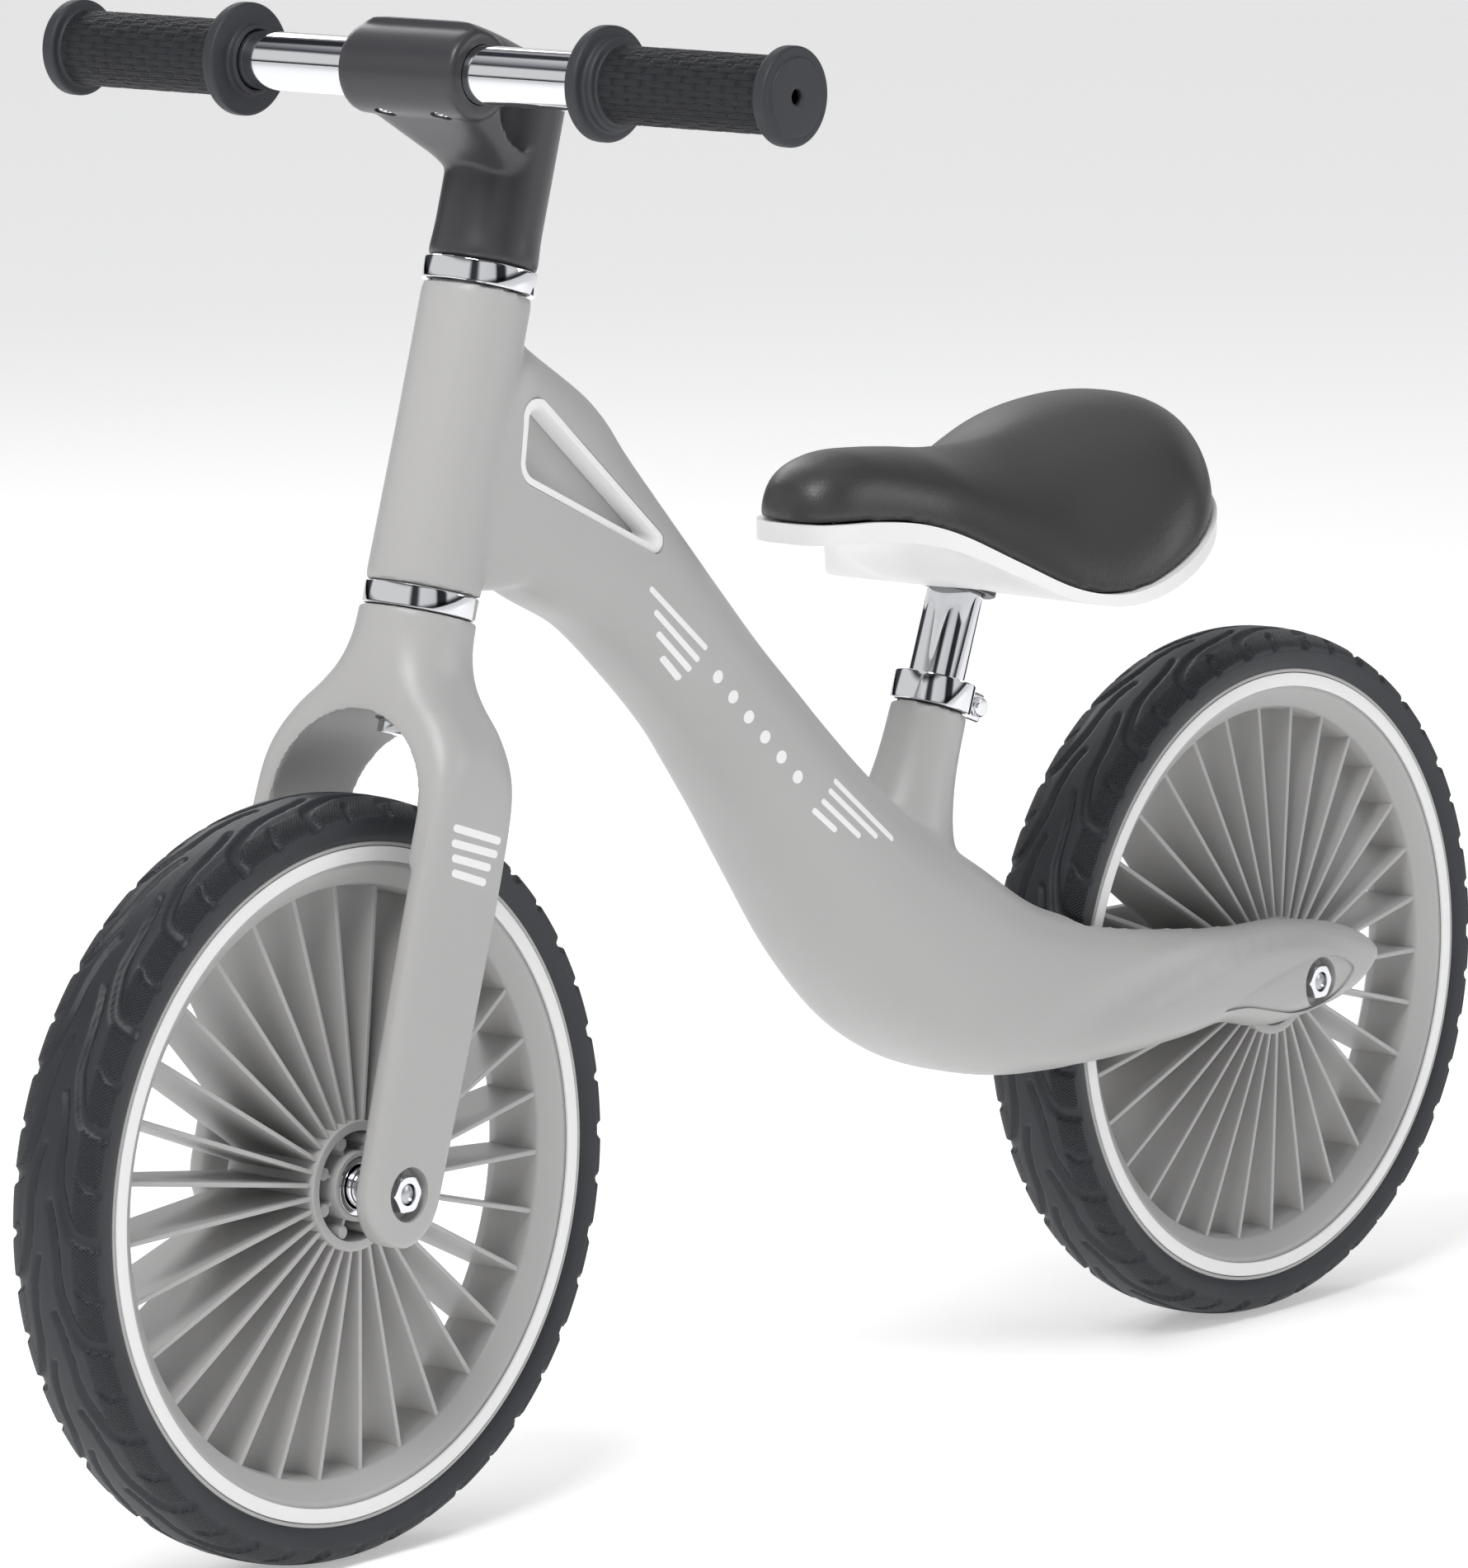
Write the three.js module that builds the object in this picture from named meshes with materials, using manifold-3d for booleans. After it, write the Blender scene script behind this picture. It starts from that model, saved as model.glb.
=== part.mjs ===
// A child's balance bike: a moulded one-piece frame with two stays round the rear wheel, a fork that
// turns in the head tube, a clamped handlebar, foam tyres on bladed rims and a saddle on a sliding post.
// Millimetres. +X runs to the rear, +Y to the rider's right, +Z up; the origin is on the ground,
// halfway between the axles.
import * as THREE from "three";
import { mergeVertices } from "three/addons/utils/BufferGeometryUtils.js";
import Module from "manifold-3d";

const wasm = await Module();
wasm.setup();

const degrees = THREE.MathUtils.degToRad;

// ---- Driving sizes ----
const WHEELBASE = 570;
const HEAD_ANGLE = degrees(16.2); // steering axis, leaning back from upright
const SEAT_ANGLE = degrees(20.4); // seat post, leaning back from upright
const GAP = 0.3; // between pieces that touch

const TYRE_RADIUS = 145;
const TYRE_HALF_WIDTH = 22.5;
const TYRE_SIDES = 36;
const BORE_SIDES = 16;
const RIM_RADIUS = TYRE_RADIUS - 16.1; // over the lips
const RIM_HALF_WIDTH = 19.5;
const RIM_SEAT_DEPTH = 12; // how deep the tyre sits between the lips
const RIM_SEAT_WIDTH = 13.5; // half width of the channel's floor
const LIP_THICK = 2;
const RIM_WALL = 6;
const TRIM_OUTER = RIM_RADIUS - 1.8;
const TRIM_INNER = TRIM_OUTER - 5.5;
const TRIM_THICK = 1.2;
const BLADES = 31;
const BLADE_THICK = 1.8;
const HUB_RADIUS = 24.7;
const HUB_HALF_WIDTH = 22;
const BOSS_RADIUS = 13.2;
const HUB_RIBS = 8;
const BEARING_RADIUS = 11;
const BEARING_WIDTH = 7;
const BEARING_BORE = 8.2; // radius inside the outer race

const AXLE_RADIUS = 3.9;
const NUT_FLATS = 13;
const NUT_THICK = 6;
const LOCKNUT_THICK = 4;
const COUNTERBORE_RADIUS = 10.4;

const LEG_INNER = 36.5; // from the middle plane to a fork leg
const LEG_THICK = 11.5;
const LEG_HALF_DEPTH = 23;
const LEG_END_RADIUS = 20.5;
const ARCH_CLEARANCE = 30; // tyre to the underside of the crown
const CROWN_HEIGHT = 40.3;
const NECK_RADIUS = 22.3;

const CUP_HEIGHT = 8.7;
const CUP_RADIUS = 21.8;
const HEAD_LENGTH = 115;
const HEAD_RADIUS_LOW = 22;
const HEAD_RADIUS_HIGH = 21;
const STEERER_RADIUS = 12.7;
const STEERER_WALL = 2;
const STEERER_BOLT_RADIUS = 3.9;
const HEADSET_RADIUS = 18;
const HEADSET_HEIGHT = 8;

const STEM_HEIGHT = 83; // over the column
const STEM_RADIUS = 20.3;
const STEM_REACH = 51.8; // steering axis to the bar's centre
const BAR_RISE = 63; // bottom of the stem to the bar's centre
const SLEEVE_RADIUS = 17;
const SLEEVE_HALF_LENGTH = 29;
const STEM_SCREW_SPREAD = 14;
const SCREW_SINK = 3; // depth of the screws' seats in the sleeve
const BAR_RADIUS = 11.1;
const BAR_WALL = 1.8;
const BAR_HALF_LENGTH = 178;
const GRIP_INNER_END = 84;
const GRIP_OUTER_END = 181.2;
const GRIP_RADIUS = 14.6;
const GRIP_HOLE = 2.8;

const FRAME_WALL = 4.5;
const STAY_OUTER = 46; // from the middle plane to a stay's outer face
const STAY_INNER = 31;
const SLOT_CLEARANCE = 8; // rear tyre to the frame in front of it
const SEAT_FOOT_ALONG = 0.591; // share of the way from the head tube to the rear axle
const SEAT_FOOT_RISE = -80.8;
const SEAT_TUBE_LENGTH = 101.5;
const SEAT_TUBE_RADIUS = 15.6;
const POST_RADIUS = 11.5;
const POST_WALL = 1.8;
const POST_INSERTED = 95;
const POST_EXPOSED = 47.3;
const SLEEVE_WALL = 1.2;
const CLAMP_HEIGHT = 12;
const CLAMP_RADIUS = 16.7;
const SADDLE_HALF_WIDTH = 78;
const SADDLE_NOSE = -112; // from the top of the post, along X
const SADDLE_TAIL = 116.5;
const SADDLE_WALL = 3.5;
const LIP_HEIGHT = 5.5;
const COLLAR_RADIUS = 16;
const COLLAR_HEIGHT = 8;
const COLLAR_DROP = 2.5; // top of the post to the collar

// ---- Places worked out from them ----
const axleHeight = TYRE_RADIUS;
const frontAxle = new THREE.Vector3(-WHEELBASE / 2, 0, axleHeight);
const rearAxle = new THREE.Vector3(WHEELBASE / 2, 0, axleHeight);
const legOuter = LEG_INNER + LEG_THICK;
const archTop = TYRE_RADIUS + ARCH_CLEARANCE;
const neckTop = archTop + CROWN_HEIGHT;
const headBottom = neckTop + GAP + CUP_HEIGHT + GAP;
const headTop = headBottom + HEAD_LENGTH;
const stemBottom = headTop + GAP + CUP_HEIGHT + GAP;
const barHeight = stemBottom + BAR_RISE;
const steering = new THREE.Matrix4().makeRotationY(HEAD_ANGLE).setPosition(frontAxle);
const headMiddle = new THREE.Vector3(0, 0, (headBottom + headTop) / 2).applyMatrix4(steering);
const seatFoot = onBeam(SEAT_FOOT_ALONG, SEAT_FOOT_RISE);
const seat = new THREE.Matrix4().makeRotationY(SEAT_ANGLE).setPosition(seatFoot);
const clampBottom = SEAT_TUBE_LENGTH + GAP;
const postTop = clampBottom + CLAMP_HEIGHT + POST_EXPOSED;
const postEnd = new THREE.Vector3(0, 0, postTop).applyMatrix4(seat);

// A point in the middle plane, placed by the line from the head tube to the rear axle.
function onBeam(along, rise) {
  const line = rearAxle.clone().sub(headMiddle);
  const up = new THREE.Vector3(-line.z, 0, line.x).normalize();
  return headMiddle.clone().addScaledVector(line, along).addScaledVector(up, rise);
}

// ---- Solids ----
function fromArrays(vertProperties, triVerts) {
  return new wasm.Manifold(new wasm.Mesh({ numProp: 3, vertProperties, triVerts }));
}

// A closed geometry as a solid with its faces pointing out.
function solid(geometry) {
  const bare = new THREE.BufferGeometry();
  const source = geometry.index ? geometry.toNonIndexed() : geometry;
  bare.setAttribute("position", source.getAttribute("position"));
  const merged = mergeVertices(bare, 1e-4);
  const corners = new Uint32Array(merged.index.array);
  const made = fromArrays(merged.attributes.position.array, corners);
  if (made.volume() > 0) return made;
  for (let i = 0; i < corners.length; i += 3) {
    [corners[i + 1], corners[i + 2]] = [corners[i + 2], corners[i + 1]];
  }
  return fromArrays(merged.attributes.position.array, corners);
}

function geometryOf(made) {
  const { vertProperties, triVerts } = made.getMesh();
  const geometry = new THREE.BufferGeometry();
  geometry.setAttribute("position", new THREE.BufferAttribute(vertProperties, 3));
  geometry.setIndex(new THREE.BufferAttribute(triVerts, 1));
  const flat = geometry.toNonIndexed();
  flat.computeVertexNormals();
  return flat;
}

const join = (first, ...others) => others.reduce((sum, other) => sum.add(other), first);
const cut = (first, ...others) => others.reduce((rest, other) => rest.subtract(other), first);

// A body of revolution about Z, or about Y with across true, from [radius, height] points.
function turned(points, sides, across = false) {
  const geometry = new THREE.LatheGeometry(points.map(([r, h]) => new THREE.Vector2(r, h)), sides);
  if (across) return solid(geometry.rotateY(Math.PI / sides));
  return solid(geometry.rotateX(Math.PI / 2));
}

function ringProfile(inner, outer, low, high) {
  return [[inner, low], [outer, low], [outer, high], [inner, high], [inner, low]];
}

function rodProfile(radius, low, high) {
  return [[0, low], [radius, low], [radius, high], [0, high]];
}

function block(width, depth, height, x, y, z) {
  return new THREE.BoxGeometry(width, depth, height).translate(x, y, z);
}

// A hexagonal nut or bolt head along Z.
function hexagon(acrossFlats, low, high, bore = 0) {
  const radius = acrossFlats / 2 / Math.cos(Math.PI / 6);
  const body = turned(rodProfile(radius, low, high), 6);
  return bore ? cut(body, turned(rodProfile(bore, low - 1, high + 1), 12)) : body;
}

// A row of rings with equal numbers of points, skinned and closed with flat ends.
function loft(rings) {
  const count = rings[0].length;
  const last = rings.length - 1;
  const points = rings.flat();
  const middle = (ring) => ring.reduce((sum, p) => sum.add(p), new THREE.Vector3()).divideScalar(count);
  const start = points.push(middle(rings[0])) - 1;
  const end = points.push(middle(rings[last])) - 1;
  const index = [];
  for (let i = 0; i < count; i += 1) {
    const next = (i + 1) % count;
    index.push(start, next, i, end, last * count + i, last * count + next);
    for (let k = 0; k < last; k += 1) {
      const [a, b, c, d] = [k * count + i, k * count + next, (k + 1) * count + next, (k + 1) * count + i];
      index.push(a, b, c, a, c, d);
    }
  }
  const geometry = new THREE.BufferGeometry().setFromPoints(points);
  geometry.setIndex(index);
  return solid(geometry);
}

// A rounded section: an ellipse at squareness 2, near a rectangle at 5 and over.
function section(centre, up, side, squareness, count = 24) {
  const power = (value) => Math.sign(value) * Math.abs(value) ** (2 / squareness);
  return Array.from({ length: count }, (_, i) => {
    const angle = (2 * Math.PI * i) / count;
    const point = centre.clone().addScaledVector(up, power(Math.cos(angle)));
    return point.addScaledVector(side, power(Math.sin(angle)));
  });
}

// ---- The tree of pieces ----
const bike = new THREE.Group();
const finishes = {
  grey: [0xb4b5b4, 0.42, 0],
  white: [0xf2f2f2, 0.35, 0],
  stem: [0x47484b, 0.45, 0],
  grip: [0x30353d, 0.75, 0],
  tyre: [0x2b2d31, 0.8, 0],
  pad: [0x4a4a4b, 0.55, 0],
  chrome: [0xd8dadc, 0.12, 1],
  steel: [0x9a9da1, 0.3, 1],
  black: [0x262626, 0.5, 0],
};

function group(place) {
  const made = new THREE.Group();
  made.applyMatrix4(place);
  bike.add(made);
  return made;
}

function add(parent, name, made, finish) {
  const [color, roughness, metalness] = finishes[finish];
  const material = new THREE.MeshStandardMaterial({ color, roughness, metalness });
  const mesh = new THREE.Mesh(geometryOf(made), material);
  mesh.name = name;
  parent.add(mesh);
}

const bikeFrame = group(new THREE.Matrix4());
const steeringFrame = group(steering);
const seatFrame = group(seat);
const sides = [["left", -1], ["right", 1]];

// Turns a solid made along Z so that it lies along Y, to the side given.
const lengthways = (made, side) => made.rotate([-90 * side, 0, 0]);

// ---- Wheels ----
function tyre() {
  const facet = TYRE_RADIUS / Math.cos(Math.PI / TYRE_SIDES); // so that a flat facet meets the ground
  const seatRadius = RIM_RADIUS - RIM_SEAT_DEPTH + GAP;
  const half = [
    [seatRadius, RIM_SEAT_WIDTH], [RIM_RADIUS + GAP, RIM_HALF_WIDTH - LIP_THICK],
    [RIM_RADIUS + GAP, RIM_HALF_WIDTH + 0.5], [facet - 12, TYRE_HALF_WIDTH], [facet - 4.5, 19], [facet, 9],
  ];
  const other = half.map(([r, y]) => [r, -y]).reverse();
  return turned([...half, ...other, half[0]], TYRE_SIDES, true);
}

function rimBand() {
  const seatRadius = RIM_RADIUS - RIM_SEAT_DEPTH;
  const groove = RIM_HALF_WIDTH - TRIM_THICK;
  const half = [
    [seatRadius, RIM_SEAT_WIDTH + GAP], [RIM_RADIUS, RIM_HALF_WIDTH - LIP_THICK + 2 * GAP],
    [RIM_RADIUS, RIM_HALF_WIDTH], [TRIM_OUTER + GAP, RIM_HALF_WIDTH], [TRIM_OUTER + GAP, groove],
    [TRIM_INNER - 2, groove], [seatRadius - RIM_WALL, 11],
  ];
  const other = half.map(([r, y]) => [r, -y]).reverse();
  return turned([...half, ...other, half[0]], TYRE_SIDES, true);
}

// Flat radial blades, wider in the hub than at the rim.
function blade(angle) {
  const outer = RIM_RADIUS - RIM_SEAT_DEPTH - RIM_WALL / 2;
  const inner = HUB_RADIUS - 1;
  const shape = new THREE.Shape();
  shape.moveTo(inner, -HUB_HALF_WIDTH + 1);
  shape.lineTo(outer, -11.5);
  shape.lineTo(outer, 11.5);
  shape.lineTo(inner, HUB_HALF_WIDTH - 1);
  const geometry = new THREE.ExtrudeGeometry(shape, { depth: BLADE_THICK, bevelEnabled: false });
  return solid(geometry.translate(0, 0, -BLADE_THICK / 2).rotateY(angle));
}

function hub() {
  const ring = turned(ringProfile(HUB_RADIUS - 2, HUB_RADIUS, -HUB_HALF_WIDTH, HUB_HALF_WIDTH), BLADES, true);
  const boss = turned(ringProfile(6, BOSS_RADIUS, -HUB_HALF_WIDTH - 1, HUB_HALF_WIDTH + 1), BORE_SIDES, true);
  const web = turned(ringProfile(BOSS_RADIUS - 1, HUB_RADIUS - 1, -1.5, 1.5), BORE_SIDES, true);
  const ribs = Array.from({ length: HUB_RIBS }, (_, i) => {
    const length = HUB_RADIUS - BOSS_RADIUS;
    const rib = block(length, 2 * HUB_HALF_WIDTH - 4, 2, BOSS_RADIUS + length / 2 - 1, 0, 0);
    return solid(rib.rotateY((2 * Math.PI * (i + 0.5)) / HUB_RIBS));
  });
  return join(ring, boss, web, ...ribs);
}

function rim() {
  const blades = Array.from({ length: BLADES }, (_, i) => blade((2 * Math.PI * i) / BLADES));
  const depth = HUB_HALF_WIDTH + 1 - BEARING_WIDTH - GAP;
  const seats = sides.map(([, side]) => {
    return turned(rodProfile(BEARING_RADIUS + GAP, side * depth, side * (HUB_HALF_WIDTH + 2)), BORE_SIDES, true);
  });
  return cut(join(rimBand(), hub(), ...blades), ...seats);
}

// The turning half of a wheel, and the fixed axle, cones and nuts that it turns on.
function wheel(prefix, centre, legInner, legFace) {
  const place = group(new THREE.Matrix4().setPosition(centre));
  add(place, `${prefix}_tyre`, tyre(), "tyre");
  add(place, `${prefix}_rim`, rim(), "grey");
  const bearingFace = HUB_HALF_WIDTH + 1;
  const locknutFace = legInner - GAP;
  for (const [name, side] of sides) {
    const trimBack = RIM_HALF_WIDTH - TRIM_THICK + GAP;
    const trim = ringProfile(TRIM_INNER, TRIM_OUTER, trimBack, RIM_HALF_WIDTH + GAP);
    const race = ringProfile(BEARING_BORE, BEARING_RADIUS, bearingFace - BEARING_WIDTH, bearingFace);
    const bore = AXLE_RADIUS + GAP;
    const cone = [
      [bore, bearingFace - BEARING_WIDTH], [BEARING_BORE - 0.5, bearingFace - BEARING_WIDTH],
      [BEARING_BORE - 0.5, bearingFace + 1], [6.4, bearingFace + 2],
      [6.4, locknutFace - LOCKNUT_THICK - GAP], [bore, locknutFace - LOCKNUT_THICK - GAP],
      [bore, bearingFace - BEARING_WIDTH],
    ];
    const flip = (points) => points.map(([r, y]) => [r, side * y]);
    add(place, `${prefix}_trim_${name}`, turned(flip(trim), TYRE_SIDES, true), "white");
    add(place, `${prefix}_bearing_${name}`, turned(flip(race), BORE_SIDES, true), "chrome");
    add(place, `${prefix}_cone_${name}`, turned(flip(cone), BORE_SIDES, true), "chrome");
    const locknut = hexagon(NUT_FLATS, locknutFace - LOCKNUT_THICK, locknutFace, bore);
    add(place, `${prefix}_locknut_${name}`, lengthways(locknut, side), "steel");
    const nut = hexagon(NUT_FLATS, legFace - NUT_THICK, legFace, bore);
    add(place, `${prefix}_nut_${name}`, lengthways(nut, side), "chrome");
  }
  add(place, `${prefix}_axle`, turned(rodProfile(AXLE_RADIUS, 0.6 - legFace, legFace - 0.6), 16, true), "steel");
}

wheel("front", frontAxle, LEG_INNER, legOuter - 0.6);
wheel("rear", rearAxle, STAY_INNER, STAY_OUTER - 0.8);

// What the nuts and the axle need in a leg or a stay: a hole and a counterbore from outside.
function axleCutters(outer, nutFace) {
  const floor = nutFace - NUT_THICK - GAP;
  const hole = turned(rodProfile(AXLE_RADIUS + GAP, -outer - 1, outer + 1), 16, true);
  const bores = sides.map(([, side]) => {
    return turned(rodProfile(COUNTERBORE_RADIUS, side * floor, side * (outer + 2)), 24, true);
  });
  return join(hole, ...bores);
}

// ---- Fork, steerer and headset ----
function forkCrown() {
  const shoulders = [
    [archTop - 48, legOuter, LEG_HALF_DEPTH, 7], [archTop - 25, legOuter, LEG_HALF_DEPTH + 0.3, 6.5],
    [archTop - 12, legOuter - 2, LEG_HALF_DEPTH, 5], [archTop, legOuter - 8.5, LEG_HALF_DEPTH - 0.5, 3.8],
    [archTop + 10, 30.5, 22.8, 3], [archTop + 19, 25, 22.3, 2.5],
    [archTop + 29, NECK_RADIUS + 0.5, NECK_RADIUS, 2.1], [neckTop, NECK_RADIUS, NECK_RADIUS, 2],
  ];
  return loft(shoulders.map(([height, width, depth, squareness]) => {
    const centre = new THREE.Vector3(0, 0, height);
    return section(centre, new THREE.Vector3(depth, 0, 0), new THREE.Vector3(0, width, 0), squareness, 28);
  }));
}

// The space for the wheel: straight between the legs, round under the crown.
function forkArch() {
  const shape = new THREE.Shape();
  const spring = archTop - LEG_INNER;
  shape.moveTo(-LEG_INNER, -60);
  shape.lineTo(LEG_INNER, -60);
  shape.lineTo(LEG_INNER, spring);
  shape.absarc(0, spring, LEG_INNER, 0, Math.PI, false);
  const options = { depth: 4 * LEG_HALF_DEPTH, bevelEnabled: false, curveSegments: 16 };
  const geometry = new THREE.ExtrudeGeometry(shape, options);
  geometry.translate(0, 0, -2 * LEG_HALF_DEPTH).rotateX(Math.PI / 2).rotateZ(Math.PI / 2);
  return solid(geometry);
}

// A flat blade with a round end at the axle and rounded edges.
function forkLeg(side) {
  const bevel = 2.5;
  const round = LEG_END_RADIUS - bevel;
  const depth = LEG_HALF_DEPTH - bevel;
  const shape = new THREE.Shape();
  shape.absarc(0, 0, round, Math.PI, 2 * Math.PI, false);
  shape.lineTo(depth, 75);
  shape.lineTo(depth, archTop - 40);
  shape.lineTo(-depth, archTop - 40);
  shape.lineTo(-depth, 75);
  const options = {
    depth: LEG_THICK - 2 * bevel, bevelSize: bevel, bevelThickness: bevel, bevelSegments: 2, curveSegments: 10,
  };
  const geometry = new THREE.ExtrudeGeometry(shape, options);
  geometry.translate(0, 0, bevel - LEG_THICK / 2).rotateX(Math.PI / 2);
  return solid(geometry.translate(0, side * (LEG_INNER + LEG_THICK / 2), 0));
}

function fork() {
  const body = join(forkCrown(), forkLeg(-1), forkLeg(1));
  const steererHole = turned(rodProfile(STEERER_RADIUS + GAP, archTop + 8, neckTop + 1), 24);
  const boltHole = turned(rodProfile(STEERER_BOLT_RADIUS + GAP, archTop - 40, archTop + 9), 12);
  const headSeat = turned(rodProfile(NUT_FLATS / 2 + 2.5, archTop - 20, archTop), 20);
  return cut(body, forkArch(), steererHole, boltHole, headSeat, axleCutters(legOuter, legOuter - 0.6));
}

function steeringPieces() {
  add(steeringFrame, "fork", fork(), "grey");
  const steererTop = stemBottom + STEM_HEIGHT - 25;
  const steererLow = archTop + 8 + GAP;
  const tube = ringProfile(STEERER_RADIUS - STEERER_WALL, STEERER_RADIUS, steererLow, steererTop);
  add(steeringFrame, "steerer_tube", turned(tube, 24), "steel");
  const head = hexagon(NUT_FLATS, archTop - 6, archTop - GAP);
  const shank = turned(rodProfile(STEERER_BOLT_RADIUS, archTop - 2, stemBottom + STEM_HEIGHT - 10), 12);
  add(steeringFrame, "steerer_bolt", join(head, shank), "chrome");
  const nutLow = steererTop + GAP;
  const nut = hexagon(NUT_FLATS, nutLow, nutLow + NUT_THICK, STEERER_BOLT_RADIUS + GAP);
  add(steeringFrame, "stem_nut", nut, "steel");
  const bore = STEERER_RADIUS + GAP;
  for (const [name, low] of [["lower", neckTop + GAP], ["upper", headTop + GAP]]) {
    add(steeringFrame, `head_cup_${name}`, turned(cupProfile(bore, low), 28), "chrome");
  }
  for (const [name, low] of [["lower", headBottom + 0.5], ["upper", headTop - 0.5 - HEADSET_HEIGHT]]) {
    const race = ringProfile(bore, HEADSET_RADIUS, low, low + HEADSET_HEIGHT);
    add(steeringFrame, `headset_bearing_${name}`, turned(race, 24), "steel");
  }
}

// A chrome cup with small chamfers, between the head tube and the piece next to it.
function cupProfile(bore, low) {
  const [high, outer, chamfer] = [low + CUP_HEIGHT, CUP_RADIUS, 0.8];
  return [
    [bore, low], [outer - chamfer, low], [outer, low + chamfer], [outer, high - chamfer],
    [outer - chamfer, high], [bore, high], [bore, low],
  ];
}

// ---- Stem, bar and grips, in the steering frame with the stem's bottom as datum ----
const barCentre = new THREE.Vector3(-STEM_REACH, 0, barHeight);

function stemColumn() {
  const [r, low, high] = [STEM_RADIUS, stemBottom, stemBottom + STEM_HEIGHT];
  return turned([
    [0, low], [r + 0.2, low], [r + 0.7, low + 2], [r, low + 12], [r, high - 16],
    [r - 1.5, high - 9], [r - 5, high - 3.5], [r - 10, high - 1], [0, high],
  ], 24);
}

// The arm runs from the sleeve round the bar back over the column, deeper towards the column.
// Stations: share of the reach, underside from the bar's centre, half width, squareness.
function stemArm() {
  const top = stemBottom + STEM_HEIGHT;
  const stations = [
    [1.14, 15, 28, 8], [1, 17.2, 28, 7.5], [0.79, 20.8, 27, 6], [0.58, 24.8, 25.3, 4.6],
    [0.37, 29.3, 22.8, 3.6], [0.17, 36.3, 20.5, 2.9], [0, 45, 18.5, 2.5],
  ];
  return loft(stations.map(([along, drop, width, squareness]) => {
    const low = barHeight - drop;
    const centre = new THREE.Vector3(-along * STEM_REACH, 0, (low + top) / 2);
    const up = new THREE.Vector3(0, 0, (top - low) / 2 - along);
    return section(centre, up, new THREE.Vector3(0, width, 0), squareness);
  }));
}

function acrossAt(made, centre) {
  return made.translate([centre.x, centre.y, centre.z]);
}

// The screws point from the underside of the sleeve at the bar's centre.
const screwLean = degrees(4);

function stemScrewPlace(made, side) {
  const lean = THREE.MathUtils.radToDeg(screwLean);
  return acrossAt(made.rotate([0, lean, 0]), barCentre).translate([0, side * STEM_SCREW_SPREAD, 0]);
}

function stem() {
  const half = SLEEVE_HALF_LENGTH;
  const sleeve = acrossAt(turned([
    [0, -half], [SLEEVE_RADIUS - 1.2, -half], [SLEEVE_RADIUS, 1.2 - half], [SLEEVE_RADIUS, half - 1.2],
    [SLEEVE_RADIUS - 1.2, half], [0, half],
  ], 24, true), barCentre);
  const body = join(stemColumn(), stemArm(), sleeve);
  const barHole = acrossAt(turned(rodProfile(BAR_RADIUS + GAP, -half - 5, half + 5), 24, true), barCentre);
  const high = stemBottom + STEM_HEIGHT;
  const tubeHole = turned(rodProfile(STEERER_RADIUS + GAP, stemBottom - 5, high - 25 + GAP), 24);
  const nutPocket = hexagon(NUT_FLATS + 2 * GAP, high - 26, high - 25 + 2 * GAP + NUT_THICK);
  const boltHole = turned(rodProfile(STEERER_BOLT_RADIUS + GAP, high - 26, high - 9), 12);
  const screwHoles = sides.map(([, side]) => {
    const bore = turned(rodProfile(2.5 + GAP, -40, -BAR_RADIUS + 1), 12);
    const recess = turned(rodProfile(4.2, -45, SCREW_SINK - SLEEVE_RADIUS), 16);
    return stemScrewPlace(join(bore, recess), side);
  });
  return cut(body, barHole, tubeHole, nutPocket, boltHole, ...screwHoles);
}

function grip(side) {
  const [start, end, r] = [GRIP_INNER_END, GRIP_OUTER_END, GRIP_RADIUS];
  const bore = BAR_RADIUS + GAP;
  const points = [
    [GRIP_HOLE, BAR_HALF_LENGTH + GAP], [bore, BAR_HALF_LENGTH + GAP], [bore, start], [13.2, start],
    [13.2, start + 3.5], [21.7, start + 4], [21.7, start + 9], [17.3, start + 9.5], [17.3, start + 13],
    [r, start + 13.5], [r, end - 7], [18.4, end - 6.5], [18.4, end - 1], [14.5, end - 0.8], [14.2, end],
    [GRIP_HOLE, end], [GRIP_HOLE, BAR_HALF_LENGTH + GAP],
  ];
  return acrossAt(turned(points.map(([radius, y]) => [radius, side * y]), 24, true), barCentre);
}

function barPieces() {
  add(steeringFrame, "stem", stem(), "stem");
  const tube = ringProfile(BAR_RADIUS - BAR_WALL, BAR_RADIUS, -BAR_HALF_LENGTH, BAR_HALF_LENGTH);
  add(steeringFrame, "handlebar", acrossAt(turned(tube, 24, true), barCentre), "chrome");
  for (const [name, side] of sides) {
    add(steeringFrame, `grip_${name}`, grip(side), "grip");
    const shank = turned(rodProfile(2.5, -SLEEVE_RADIUS, -BAR_RADIUS - GAP), 12);
    const headTop = SCREW_SINK - SLEEVE_RADIUS - GAP;
    const head = turned(rodProfile(3.9, headTop - 2.5, headTop), 16);
    add(steeringFrame, `stem_screw_${name}`, stemScrewPlace(join(shank, head), side), "chrome");
  }
}

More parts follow.
